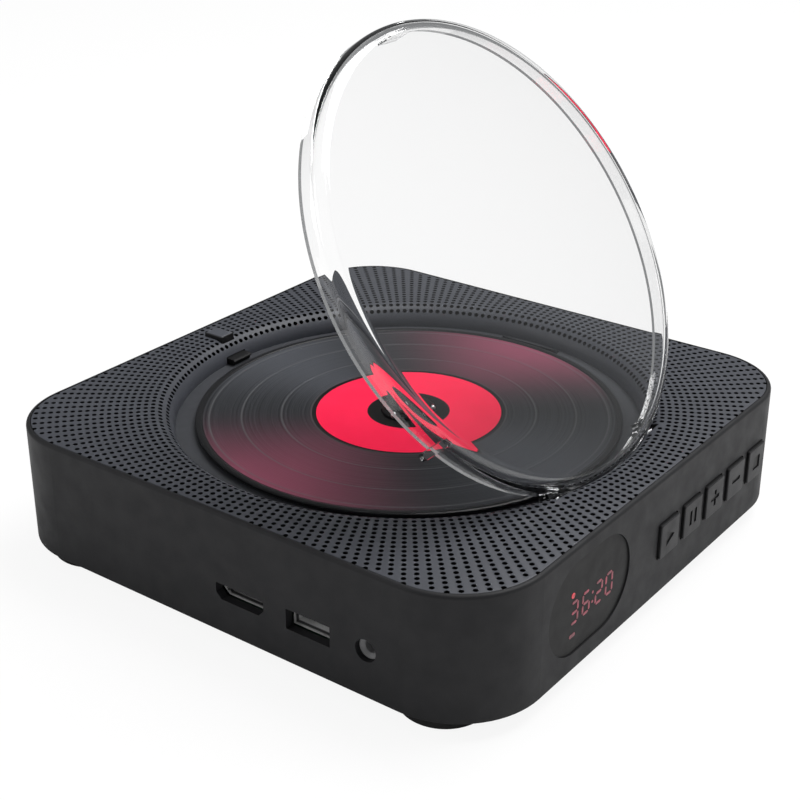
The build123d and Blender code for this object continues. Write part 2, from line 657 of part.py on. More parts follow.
def well_screws():
    length = Z_PANEL - Z_FLOOR_UNDER - 1
    return grouped(
        screw(x, y, Z_FLOOR_UNDER, WELL_SCREW_R, WELL_SCREW_HEAD_R, WELL_SCREW_HEAD_T, length, True)
        for x, y in EAR_PLACES
    )


# ---------------------------------------------------------------- lid and hinge
def dish(radius, z0, z1, edge_r):
    """A round plate with a rounded upper edge."""
    return fillet(top_edges(post(0, 0, radius, z0, z1)), edge_r)


def lid_closed():
    shell = dish(LID_R, Z_RIM, Z_LID_TOP, LID_EDGE_R)
    shell -= dish(LID_R - LID_WALL, Z_RIM - OVER, Z_LID_TOP - LID_WALL, LID_EDGE_R - LID_WALL)
    near = block(LID_R / 2, BODY_SIDE, -LUG_START, LUG_START, 0, BODY_SIDE)
    relief = shoulder_ring(SHOULDER_R + RELIEF_GAP, Z_FLOOR) & near
    shell -= relief.rotate(HINGE_AXIS, -LID_OPEN_ANGLE)
    for side in SIDES:
        y0 = side * LUG_START
        y1 = side * (LUG_START + LUG_W)
        lug = bar_y(HINGE_X, HINGE_Z, LUG_R, y0, y1)
        lug += mirrored_block(HINGE_X - LUG_WEB, HINGE_X, LUG_START, LUG_START + LUG_W,
                              HINGE_Z - LUG_R / 2, HINGE_Z + LUG_R, side)
        shell += lug
        shell -= bar_y(HINGE_X, HINGE_Z, PIN_R, y0 + side * LUG_SKIN, y1 + side * OVER)
    z0 = Z_TOP + TAB_RISE
    shell += block(TAB_X - TAB_T / 2, TAB_X + TAB_T / 2, -TAB_FROM - TAB_L, -TAB_FROM, z0, z0 + TAB_H)
    x0 = -LID_R + LID_WALL
    z0 = Z_FLOOR + CATCH_GAP
    half_w = CATCH_W / 2
    catch = block(x0, x0 + CATCH_T, -half_w, half_w, z0, Z_RIM + LID_RIM)
    catch += block(x0 - CATCH_STEP, x0, -half_w, half_w, z0, z0 + CATCH_STEP_T)
    return shell + catch


def open_pose(shape):
    return shape.rotate(HINGE_AXIS, LID_OPEN_ANGLE)


def hinge_pins():
    start = LUG_START + LUG_SKIN
    return grouped(bar_y(HINGE_X, HINGE_Z, PIN_R, side * start, side * PIN_END) for side in SIDES)


def hinge_bracket(side):
    back_x = HINGE_X + LUG_R + LUG_ROOM + SHELL_GAP
    end = BRACKET_START + BRACKET_W
    wall = mirrored_block(back_x, back_x + BRACKET_WALL, LUG_START - LUG_GAP, end, Z_FLOOR, Z_PANEL, side)
    bearing = mirrored_block(HINGE_X - PIN_R, back_x + BRACKET_WALL, BRACKET_START, end,
                             Z_FLOOR, Z_PANEL, side)
    bracket = (wall + bearing) & space_behind_shoulder()
    return bracket - bar_y(HINGE_X, HINGE_Z, PIN_R + PIN_GAP, side * LUG_START, side * (end + OVER))


def hinge_springs():
    start = BRACKET_START + BRACKET_W + SHELL_GAP
    wound = coil(HINGE_COIL_R, COIL_WIRE, HINGE_COIL_L, HINGE_COIL_TURNS)
    return grouped(Pos(HINGE_X, side * start, HINGE_Z) * Rot(-90 * side, 0, 0) * wound for side in SIDES)


# ---------------------------------------------------------------- open button and latch
def cam(gap, z0, z1):
    """A leg that leans at 45 degrees, so that pressing it draws the slider out."""
    lean = Z_ROLL + CAM_RISE - z0
    top_lean = Z_ROLL + CAM_RISE - z1
    x0 = BUTTON_X - CAM_L / 2 - gap
    x1 = BUTTON_X + CAM_L / 2 + gap
    corners = [(x0 + top_lean, z1), (x1 + top_lean, z1), (x1 + lean, z0), (x0 + lean, z0)]
    section = Plane.XZ * make_face(Polyline(*corners, close=True))
    return extrude(section, CAM_W / 2 + gap, both=True)


def open_button():
    cap_z = Z_TOP + BUTTON_RISE
    low = Z_FLOOR + SLIDER_LIFT + SLIDER_T + BUTTON_TRAVEL + BUTTON_GAP
    half_l = BUTTON_L / 2
    cap = block(BUTTON_X - half_l, BUTTON_X + half_l, -BUTTON_W / 2, BUTTON_W / 2, low, cap_z)
    cap = fillet(top_edges(cap), BUTTON_EDGE_R)
    flange_z = Z_PANEL - BUTTON_GAP
    flange = block(BUTTON_X - half_l - FLANGE_REACH, -ROLL_R, -FLANGE_W / 2, FLANGE_W / 2,
                   flange_z - FLANGE_T, flange_z)
    leg = cam(0, Z_FLOOR + SLIDER_LIFT + BUTTON_TRAVEL, low + OVER / 2)
    return cap + flange + leg


def latch_slider():
    z0 = Z_FLOOR + SLIDER_LIFT
    z1 = z0 + SLIDER_T
    nose_x = -LID_R + LID_WALL - HOOK_GAP
    under_x = -LID_R + LID_WALL - CATCH_STEP - CATCH_GAP
    head = block(nose_x - HOOK_L, nose_x, -HOOK_W / 2, HOOK_W / 2, z0, z1)
    head = chamfer(head.edges().filter_by(Axis.Y).group_by(Axis.X)[-1].sort_by(Axis.Z)[-1], HOOK_CHAMFER)
    under_z = Z_FLOOR + CATCH_GAP + CATCH_STEP_T + CATCH_GAP
    head -= block(under_x, nose_x + OVER, -HOOK_W / 2 - OVER, HOOK_W / 2 + OVER, z0 - OVER, under_z)
    neck = block(BUTTON_X - SLIDER_TAIL, nose_x - HOOK_L, -SLIDER_NECK_W / 2, SLIDER_NECK_W / 2, z0, z1)
    return head + neck - cam(CAM_GAP, z0 - OVER, z1 + OVER)


def button_springs():
    height = Z_PANEL - BUTTON_GAP - FLANGE_T - Z_FLOOR
    wound = coil(BUTTON_COIL_R, COIL_WIRE, height, BUTTON_COIL_TURNS)
    return grouped(Pos(BUTTON_X - BUTTON_COIL_X, side * BUTTON_COIL_Y, Z_FLOOR) * wound for side in SIDES)


# ---------------------------------------------------------------- side keys, display and boards
def side_key(y):
    flange_x = INNER - KEY_GAP
    cap = key_prism(y, 0, flange_x - KEY_FLANGE_T, HALF + KEY_RISE)
    cap = fillet(cap.edges().group_by(Axis.X)[-1], KEY_EDGE_R)
    flange = key_prism(y, KEY_FLANGE, flange_x - KEY_FLANGE_T, flange_x)
    switch_top = FRONT_BOARD_X + BOARD_T + SWITCH_T + PLUNGER_L
    stem = bar_x(y, Z_KEY, KEY_STEM_R, switch_top + PLUNGER_GAP + KEY_TRAVEL, flange_x)
    return cap + flange + stem


def key_switches():
    x0 = FRONT_BOARD_X + BOARD_T
    half = SWITCH_SIDE / 2
    switches = []
    for y in KEY_YS:
        body = block(x0, x0 + SWITCH_T, y - half, y + half, Z_KEY - half, Z_KEY + half)
        switches.append(body + bar_x(y, Z_KEY, PLUNGER_R, x0, x0 + SWITCH_T + PLUNGER_L))
    return grouped(switches)


def front_board():
    return block(FRONT_BOARD_X, FRONT_BOARD_X + BOARD_T, FRONT_BOARD_Y0, FRONT_BOARD_Y1,
                 Z_BOTTOM + FRONT_BOARD_Z0, Z_BOTTOM + FRONT_BOARD_Z1)


def display_window():
    return stadium(HALF - DISPLAY_RECESS, WINDOW_GAP, WINDOW_T)


def display_module():
    x0 = FRONT_BOARD_X + BOARD_T
    x1 = HALF - DISPLAY_RECESS - WINDOW_T - MODULE_GAP
    return block(x0, x1, DISPLAY_Y - MODULE_W / 2, DISPLAY_Y + MODULE_W / 2,
                 Z_DISPLAY - MODULE_H / 2, Z_DISPLAY + MODULE_H / 2)


def main_board():
    board = block(BOARD_X0, BOARD_X1, BOARD_Y0, BOARD_Y1, Z_BOARD - BOARD_T, Z_BOARD)
    for x, y in BOARD_SCREW_PLACES:
        board -= post(x, y, BOARD_SCREW_R + SCREW_GAP, Z_BOARD - BOARD_T - OVER, Z_BOARD + OVER)
    return board


def board_chips():
    chips = []
    for along, back, width, depth, height in CHIPS:
        x = BOARD_X0 + along
        y = BOARD_Y1 - back
        chip = block(x - width / 2, x + width / 2, y - depth / 2, y + depth / 2, Z_BOARD, Z_BOARD + height)
        chips.append(chip)
    return grouped(chips)


def board_screws():
    return grouped(
        screw(x, y, Z_BOARD, BOARD_SCREW_R, BOARD_SCREW_HEAD_R, BOARD_SCREW_HEAD_T, BOARD_SCREW_L, False)
        for x, y in BOARD_SCREW_PLACES
    )


# ---------------------------------------------------------------- sockets
def hdmi_port():
    front = -INNER + PORT_GAP
    plane = port_plane(HDMI_X, HDMI_Z, front + HDMI_L)
    shell = extrude(hdmi_outline(PORT_GAP, plane), HDMI_L)
    mouth = port_plane(HDMI_X, HDMI_Z, front + HDMI_L - HDMI_BACK)
    shell -= extrude(hdmi_outline(PORT_GAP + SHELL_T, mouth), HDMI_L)
    tongue_w = HDMI_W - 2 * TONGUE_SIDE
    tongue = extrude(mouth * Rectangle(tongue_w, TONGUE_T), HDMI_L - HDMI_BACK - TONGUE_SETBACK)
    low = Z_BOTTOM + HDMI_Z - HDMI_H / 2 + PORT_GAP + SHELL_T / 2
    base = block(HDMI_X - tongue_w / 2, HDMI_X + tongue_w / 2, front + STAND_SETBACK, front + HDMI_L,
                 Z_BOARD, low)
    return shell + tongue + base


def usb_port():
    front = -INNER + PORT_GAP
    outer_w = USB_W - 2 * PORT_GAP
    outer_h = USB_H - 2 * PORT_GAP
    shell = extrude(port_plane(USB_X, USB_Z, front + USB_L) * Rectangle(outer_w, outer_h), USB_L)
    mouth = port_plane(USB_X, USB_Z, front + USB_L - USB_BACK)
    shell -= extrude(mouth * Rectangle(outer_w - 2 * SHELL_T, outer_h - 2 * SHELL_T), USB_L)
    tongue = Rectangle(outer_w - 2 * USB_TONGUE_SIDE, USB_TONGUE_T)
    tongue = extrude(mouth * Pos(0, USB_TONGUE_RISE) * tongue, USB_L - USB_BACK - TONGUE_SETBACK)
    low = Z_BOTTOM + USB_Z - outer_h / 2 + SHELL_T / 2
    base = block(USB_X - outer_w / 2, USB_X + outer_w / 2, front + STAND_SETBACK, front + USB_L,
                 Z_BOARD, low)
    return shell + tongue + base


def audio_jack():
    front = -HALF + JACK_SETBACK
    inner = -INNER + PORT_GAP
    z = Z_BOTTOM + JACK_Z
    barrel = bar_y(JACK_X, z, JACK_HOLE_R - PORT_GAP / 2, front, inner + OVER)
    body = block(JACK_X - JACK_BODY_W / 2, JACK_X + JACK_BODY_W / 2, inner, inner + JACK_BODY_L,
                 Z_BOARD, Z_BOARD + JACK_BODY_H)
    cone = Cone(JACK_BORE_R, JACK_HOLE_R - 2 * PORT_GAP, JACK_COUNTERSINK)
    sink = Pos(JACK_X, front + JACK_COUNTERSINK / 2, z) * Rot(90, 0, 0) * cone
    bore = bar_y(JACK_X, z, JACK_BORE_R, front - OVER, inner + JACK_BODY_L - JACK_END_T)
    return barrel + body - sink - bore


# ---------------------------------------------------------------- drive chassis and spindle
def drive_chassis():
    plate = block(CHASSIS_X0, CHASSIS_X1, CHASSIS_Y0, CHASSIS_Y1, Z_CHASSIS_UNDER, Z_CHASSIS)
    plate = fillet(plate.edges().filter_by(Axis.Z), GROMMET_R)
    low = Z_CHASSIS_UNDER - 1
    high = Z_CHASSIS + 1
    plate -= block(-SLED_WINDOW_X, SLED_WINDOW_X, RUN_Y0, RUN_Y1, low, high)
    plate -= post(0, 0, SPINDLE_BOSS_R + SCREW_GAP, low, high)
    plate -= post(SLED_MOTOR_X, GEAR_Y, SLED_MOTOR_R + SCREW_GAP, low, high)
    plate -= post(GEAR_X, GEAR_Y, AXLE_R, low, high)
    for x, y in MOUNT_PLACES:
        plate -= post(x, y, GROMMET_NECK_R + SCREW_GAP, low, high)
    for x in (-ROD_X, ROD_X):
        for y0 in (RUN_Y0 - LUG_T, RUN_Y1):
            plate += block(x - ROD_LUG_W / 2, x + ROD_LUG_W / 2, y0, y0 + LUG_T,
                           Z_ROD - ROD_LUG_W / 2, Z_CHASSIS_UNDER + CHASSIS_T / 2)
        plate -= guide_rod(x)
    return plate


def guide_rod(x):
    reach = LUG_T - ROD_LUG_SKIN
    return bar_y(x, Z_ROD, ROD_R, RUN_Y0 - reach, RUN_Y1 + reach)


def guide_rods():
    return grouped(guide_rod(x) for x in (-ROD_X, ROD_X))


def grommets():
    low = Z_CHASSIS_UNDER - GROMMET_BELOW
    high = Z_CHASSIS + GROMMET_ABOVE
    ring = turned([(GROMMET_BORE_R, low), (GROMMET_R, low), (GROMMET_R, Z_CHASSIS_UNDER),
                   (GROMMET_NECK_R, Z_CHASSIS_UNDER), (GROMMET_NECK_R, Z_CHASSIS),
                   (GROMMET_R, Z_CHASSIS), (GROMMET_R, high), (GROMMET_BORE_R, high)])
    return grouped(Pos(x, y, 0) * ring for x, y in MOUNT_PLACES)


def mech_screws():
    seat = Z_CHASSIS + GROMMET_ABOVE
    return grouped(
        screw(x, y, seat, MECH_SCREW_R, MECH_SCREW_HEAD_R, MECH_SCREW_HEAD_T, MECH_SCREW_L, False)
        for x, y in MOUNT_PLACES
    )


def spindle_motor():
    can = post(0, 0, SPINDLE_CAN_R, Z_CHASSIS_UNDER - SPINDLE_CAN_H, Z_CHASSIS_UNDER)
    can = fillet(bottom_edges(can), SPINDLE_EDGE_R)
    can += post(0, 0, SPINDLE_BOSS_R, Z_CHASSIS_UNDER - OVER, Z_CHASSIS + SPINDLE_BOSS_RISE)
    low = Z_CHASSIS_UNDER - SPINDLE_CAN_H + SPINDLE_END_T
    return can - post(0, 0, SHAFT_R + PIN_GAP, low, Z_CHASSIS + OVER)


def spindle_shaft():
    low = Z_CHASSIS_UNDER - SPINDLE_CAN_H + 2 * SPINDLE_END_T
    return post(0, 0, SHAFT_R, low, Z_DISC + SHAFT_RISE)


def turntable():
    hub_top = Z_DISC + HUB_RISE
    low = Z_CHASSIS + HUB_NECK_LIFT
    table = turned([(0, low), (HUB_NECK_R, low), (HUB_NECK_R, Z_DISC - TABLE_T),
                    (TABLE_R, Z_DISC - TABLE_T), (TABLE_R, Z_DISC), (HUB_R, Z_DISC),
                    (HUB_R, hub_top - HUB_CHAMFER), (HUB_R - HUB_CHAMFER, hub_top), (0, hub_top)])
    table -= post(0, 0, SHAFT_R, Z_CHASSIS, Z_DISC + SHAFT_RISE)
    for x, y in ball_places():
        reach = atan2(y, x)
        table -= Pos(x, y, Z_DISC + BALL_Z) * Sphere(BALL_R + PIN_GAP)
        outer = Cylinder(BALL_R * 0.8, BALL_R * 2, align=(Align.CENTER, Align.CENTER, Align.MIN))
        table -= Pos(x, y, Z_DISC + BALL_Z) * Rot(0, 0, degrees(reach)) * Rot(0, 90, 0) * outer
    return table


def ball_places():
    return [(BALL_RING_R * cos(radians(a)), BALL_RING_R * sin(radians(a))) for a in (30, 150, 270)]


def chuck_balls():
    return grouped(Pos(x, y, Z_DISC + BALL_Z) * Sphere(BALL_R) for x, y in ball_places())


def disc():
    return post(0, 0, DISC_R, Z_DISC, Z_DISC + DISC_T) - post(0, 0, DISC_HOLE_R, Z_DISC - OVER, Z_TOP)


# ---------------------------------------------------------------- gears
def involute(base_r, radius):
    """Angle of an involute between its base circle and this radius."""
    pressure = acos(min(1.0, base_r / radius))
    return tan(pressure) - pressure


def spur_gear(teeth, z0, z1, bore_r, turn):
    """An involute spur gear, its first tooth turned from +X by this many degrees."""
    pitch_r = GEAR_MODULE * teeth / 2
    base_r = pitch_r * cos(radians(PRESSURE_ANGLE))
    root_r = pitch_r - 1.25 * GEAR_MODULE
    tip_r = pitch_r + GEAR_MODULE
    half = pi / (2 * teeth) - BACKLASH / (2 * pitch_r) + involute(base_r, pitch_r)
    start_r = max(base_r, root_r)
    radii = [start_r + (tip_r - start_r) * i / 4 for i in range(5)]
    flank = [(r, half - involute(base_r, r)) for r in radii]
    if root_r < base_r:
        flank.insert(0, (root_r, flank[0][1]))
    points = []
    for i in range(teeth):
        middle = radians(turn) + 2 * pi * i / teeth
        low = [(r * cos(middle - a), r * sin(middle - a)) for r, a in flank]
        high = [(r * cos(middle + a), r * sin(middle + a)) for r, a in reversed(flank)]
        points += low + high
    gear = extrude(make_face(Polyline(*points, close=True)), z1 - z0)
    return Pos(0, 0, z0) * (gear - post(0, 0, bore_r, -OVER, z1 - z0 + OVER))


def rack_teeth(pitch_x, y0, y1, z0, z1):
    """A straight rack facing +X, with a tooth space centred on the gear's height."""
    pitch = pi * GEAR_MODULE
    slope = tan(radians(PRESSURE_ANGLE))
    half = pitch / 4 - BACKLASH / 2
    tip = GEAR_MODULE
    root = 1.25 * GEAR_MODULE
    count = int((y1 - y0) / pitch) + 1
    first = GEAR_Y - pitch / 2
    back = pitch_x - RACK_BACK
    points = [(pitch_x - root, y1), (back, y1), (back, y0), (pitch_x - root, y0)]
    for i in range(-count, count + 1):
        y = first + pitch * i
        if y - pitch / 2 < y0 or y + pitch / 2 > y1:
            continue
        points += [(pitch_x - root, y - half - root * slope), (pitch_x + tip, y - half + tip * slope),
                   (pitch_x + tip, y + half - tip * slope), (pitch_x - root, y + half + root * slope)]
    return Pos(0, 0, z0) * extrude(make_face(Polyline(*points, close=True)), z1 - z0)


def sled_gear():
    wheel = spur_gear(WHEEL_TEETH, Z_WHEEL, Z_WHEEL + WHEEL_T, AXLE_R + GEAR_BORE_GAP, 180 / WHEEL_TEETH)
    pinion = spur_gear(PINION_TEETH, Z_WHEEL + WHEEL_T, Z_ROD, AXLE_R + GEAR_BORE_GAP, 180)
    return Pos(GEAR_X, GEAR_Y, 0) * (wheel + pinion)


def gear_axle():
    shaft = post(GEAR_X, GEAR_Y, AXLE_R, Z_WHEEL - AXLE_GAP, Z_CHASSIS)
    return shaft + post(GEAR_X, GEAR_Y, AXLE_HEAD_R, Z_WHEEL - AXLE_GAP - AXLE_HEAD_T, Z_WHEEL - AXLE_GAP)


def motor_pinion():
    gear = spur_gear(MOTOR_PINION_TEETH, Z_WHEEL, Z_WHEEL + WHEEL_T, SLED_SHAFT_R / 2, 180)
    shaft = post(0, 0, SLED_SHAFT_R, Z_WHEEL, Z_CHASSIS + SLED_MOTOR_FLANGE_T)
    return Pos(SLED_MOTOR_X, GEAR_Y, 0) * (gear + shaft)


def sled_motor():
    z1 = Z_FLOOR_UNDER - SLED_MOTOR_ROOM
    z0 = z1 - SLED_MOTOR_H
    flange_r = SLED_MOTOR_R + SLED_MOTOR_FLANGE
    can = post(SLED_MOTOR_X, GEAR_Y, SLED_MOTOR_R, z0, z1)
    can += post(SLED_MOTOR_X, GEAR_Y, flange_r, Z_CHASSIS, Z_CHASSIS + SLED_MOTOR_FLANGE_T)
    bore_top = Z_CHASSIS + 2 * SLED_MOTOR_FLANGE_T
    return can - post(SLED_MOTOR_X, GEAR_Y, SLED_SHAFT_R + PIN_GAP, z0 - OVER, bore_top)


# ---------------------------------------------------------------- pickup
def pickup_sled():
    low = Z_CHASSIS_UNDER - SLED_BOTTOM
    top = Z_CHASSIS + SLED_RISE
    sled = block(-SLED_HALF_W, SLED_HALF_W, SLED_Y0, SLED_Y1, low, top)
    arm_x = SLED_HALF_W + ARM_W
    sled += block(-arm_x, arm_x, SLED_Y0 + ARM_SETBACK, SLED_Y1 - ARM_SETBACK, low, low + ARM_H)
    for x in (-ROD_X, ROD_X):
        sled -= bar_y(x, Z_ROD, ROD_R + PIN_GAP, SLED_Y0, SLED_Y1)
    rack_y0 = GEAR_Y - SLED_TRAVEL - RACK_SPARE
    sled += rack_teeth(RACK_TEETH_X, rack_y0, GEAR_Y + RACK_SPARE, low, low + RACK_H)
    for side in SIDES:
        x0, x1 = sorted((side * YOKE_X, side * (YOKE_X + YOKE_T)))
        sled += block(x0, x1, SLED_FIRST_R - HOLDER_L / 2, SLED_FIRST_R + HOLDER_L / 2,
                      top - OVER, top + YOKE_H)
    return sled


def lens_holder():
    low = Z_CHASSIS + SLED_RISE + HOLDER_GAP
    half_w = HOLDER_W / 2
    half_l = HOLDER_L / 2
    holder = block(-half_w, half_w, SLED_FIRST_R - half_l, SLED_FIRST_R + half_l, low, low + HOLDER_T)
    holder = fillet(holder.edges().filter_by(Axis.Z), HOLDER_CORNER_R)
    return holder - post(0, SLED_FIRST_R, LENS_R - LENS_SEAT, low - OVER, low + HOLDER_T + OVER)


def objective_lens():
    seat = Z_CHASSIS + SLED_RISE + HOLDER_GAP + HOLDER_T
    ball_r = (LENS_R ** 2 + LENS_RISE ** 2) / (2 * LENS_RISE)
    cap = Pos(0, SLED_FIRST_R, seat + LENS_RISE - ball_r) * Sphere(ball_r)
    return cap & post(0, SLED_FIRST_R, LENS_R, seat, seat + LENS_RISE)


# ---------------------------------------------------------------- speakers and battery
def speaker_frame(x, y):
    low = Z_PANEL - SPEAKER_DEPTH
    t = BASKET_T
    basket = turned([(0, low), (MAGNET_R, low), (MAGNET_R + BASKET_FOOT, low + t), (SPEAKER_R, Z_PANEL - t),
                     (SPEAKER_R, Z_PANEL), (SPEAKER_R - t, Z_PANEL), (SPEAKER_R - t, Z_PANEL - t),
                     (MAGNET_R - BASKET_FOOT, low + t), (0, low + t)])
    return Pos(x, y, 0) * basket


def speaker_cone(x, y):
    rim = SPEAKER_R - BASKET_T
    z = Z_PANEL - BASKET_T
    low = Z_PANEL - SPEAKER_DEPTH + BASKET_T
    cap = low + CONE_RISE + CONE_SKIN
    cone = turned([(0, low), (CONE_GLUE_R, low), (CONE_GLUE_R, low + CONE_RISE), (rim - CONE_FOLD_W, z),
                   (rim, z), (rim, z + CONE_RIM_T), (rim - CONE_FOLD_W, z + CONE_RIM_T), (CONE_CAP_R, cap),
                   (CONE_CAP_R / 2, cap + CAP_RISE * 0.75), (0, cap + CAP_RISE)])
    return Pos(x, y, 0) * cone


def speaker_magnet(x, y):
    top = Z_PANEL - SPEAKER_DEPTH
    magnet = post(x, y, MAGNET_R, top - MAGNET_H, top)
    return chamfer(bottom_edges(magnet), MAGNET_CHAMFER)


def battery():
    z = Z_COVER + CRADLE_WALL + BATTERY_R
    cell = bar_y(BATTERY_X, z, BATTERY_R, -BATTERY_L / 2, BATTERY_L / 2)
    return fillet(cell.edges(), BATTERY_EDGE_R)


def battery_holder():
    half = BATTERY_R + CRADLE_GAP + CRADLE_WALL
    half_l = BATTERY_L / 2 + CRADLE_GAP + CRADLE_WALL
    cradle = block(BATTERY_X - half, BATTERY_X + half, -half_l, half_l, Z_COVER, Z_COVER + CRADLE_H)
    room = half_l - CRADLE_WALL
    z = Z_COVER + CRADLE_WALL + BATTERY_R + CRADLE_GAP
    return cradle - bar_y(BATTERY_X, z, BATTERY_R + CRADLE_GAP, -room, room)


# ---------------------------------------------------------------- all sub-parts
def sub_parts():
    parts = {
        "housing_shell": housing_shell(),
        "grille_panel": grille_panel(),
        "well_floor": well_floor(),
        "base_cover": base_cover(),
        "base_screws": base_screws(),
        "well_screws": well_screws(),
        "lid": open_pose(lid_closed()),
        "hinge_pins": hinge_pins(),
        "hinge_bracket_left": hinge_bracket(-1),
        "hinge_bracket_right": hinge_bracket(1),
        "hinge_springs": hinge_springs(),
        "open_button": open_button(),
        "button_springs": button_springs(),
        "latch_slider": latch_slider(),
        "key_switches": key_switches(),
        "front_board": front_board(),
        "display_window": display_window(),
        "display_module": display_module(),
        "main_board": main_board(),
        "board_chips": board_chips(),
        "board_screws": board_screws(),
        "hdmi_port": hdmi_port(),
        "usb_port": usb_port(),
        "audio_jack": audio_jack(),
        "drive_chassis": drive_chassis(),
        "guide_rods": guide_rods(),
        "grommets": grommets(),
        "mech_screws": mech_screws(),
        "spindle_motor": spindle_motor(),
        "spindle_shaft": spindle_shaft(),
        "turntable": turntable(),
        "chuck_balls": chuck_balls(),
        "disc": disc(),
        "pickup_sled": pickup_sled(),
        "lens_holder": lens_holder(),
        "objective_lens": objective_lens(),
        "sled_motor": sled_motor(),
        "motor_pinion": motor_pinion(),
        "sled_gear": sled_gear(),
        "gear_axle": gear_axle(),
        "battery": battery(),
        "battery_holder": battery_holder(),
    }
    for i, (x, y) in enumerate(FOOT_PLACES, 1):
        parts[f"foot_{i}"] = foot(x, y)
    for name, y in zip(KEY_NAMES, KEY_YS):
        parts[f"key_{name}"] = side_key(y)
    for i, (x, y) in enumerate(SPEAKER_PLACES, 1):
        parts[f"speaker_frame_{i}"] = speaker_frame(x, y)
        parts[f"speaker_cone_{i}"] = speaker_cone(x, y)
        parts[f"speaker_magnet_{i}"] = speaker_magnet(x, y)
    return parts


def main():
    os.makedirs("parts", exist_ok=True)
    for name, shape in sub_parts().items():
        export_step(shape, f"parts/{name}.step")
        print(name, round(shape.volume, 1))


main()
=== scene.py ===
"""Looks of the disc player: materials, perforated grille, clear lid, printed disc with painted sheen, key icons and
display.
"""

import json
import math

import bmesh
import bpy
from mathutils import Matrix, Vector


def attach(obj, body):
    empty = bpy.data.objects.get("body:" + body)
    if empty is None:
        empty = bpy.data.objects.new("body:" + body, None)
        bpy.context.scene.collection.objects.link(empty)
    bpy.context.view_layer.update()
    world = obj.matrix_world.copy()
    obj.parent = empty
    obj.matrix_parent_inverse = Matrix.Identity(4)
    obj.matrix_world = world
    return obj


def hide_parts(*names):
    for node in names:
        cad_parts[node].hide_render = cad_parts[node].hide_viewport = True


MM = 0.001

# Sizes that the solids also have, in millimetres.
Z_BOTTOM = 5.0
Z_TOP = 40.0
PANEL_T = 2.0
PANEL_SIDE = 161.3
PANEL_CORNER = 22.65
ROLL_R = 71.7
SHOULDER_R = 6.0
Z_ROLL = Z_TOP - SHOULDER_R
Z_FLOOR = 33.5
HINGE_X = 62.76
HINGE_Z = 36.0
LID_OPEN = math.radians(56.4)
LID_R = 64.7
LID_WALL = 2.0
LID_EDGE = 4.0
LID_LOW = 35.58
LID_RIM = 3.36
RELIEF_GAP = 0.4
RELIEF_REACH = 18.7  # degrees to each side of +X
EAR_FROM = 21.0
EAR_TO = 26.0
EAR_GAP = 0.5
LUG_R = 2.2
LUG_WEB = 4.8
LUG_SKIN = 0.6
PIN_R = 1.2
PIN_HOLE_R = 1.5
PIN_HOLE_TO = 31.0
CATCH_X = -62.7
CATCH_HALF = 3.7
CATCH_LOW = 33.8
HOOK_SLOT_HALF = 4.15
HOOK_SLOT_TOP = 35.8
BUTTON_X = -72.3
TAB_PLACE = (34.3, -58.3)
TAB_LOW = 40.3
TAB_TOP = 41.8
DISC_R = 60.0
DISC_HOLE = 7.5
DISC_LOW = 34.3
DISC_TOP = 35.5
BEAD_R = 0.9
BEAD_H = 0.22
PLAIN_RINGS = (35.8, 47.1, 56.2)
LABEL_R = 26.0
LABEL_HOLE = 11.4
KEY_FACE = 82.9
KEY_Z = 21.4
KEY_YS = {"play": 3.5, "pause": 16.5, "plus": 29.5, "minus": 42.5, "stop": 55.5}
WINDOW_FACE = 81.6
SOCKET_FRONT = -79.3

# The pattern of the grille.
HOLE_COLUMNS = 200
HOLE_FIRST_R = 67.5
HOLE_PITCH = 2.0
HOLE_R = 0.7
HOLE_SIDES = 12
PANEL_COLUMNS = 600

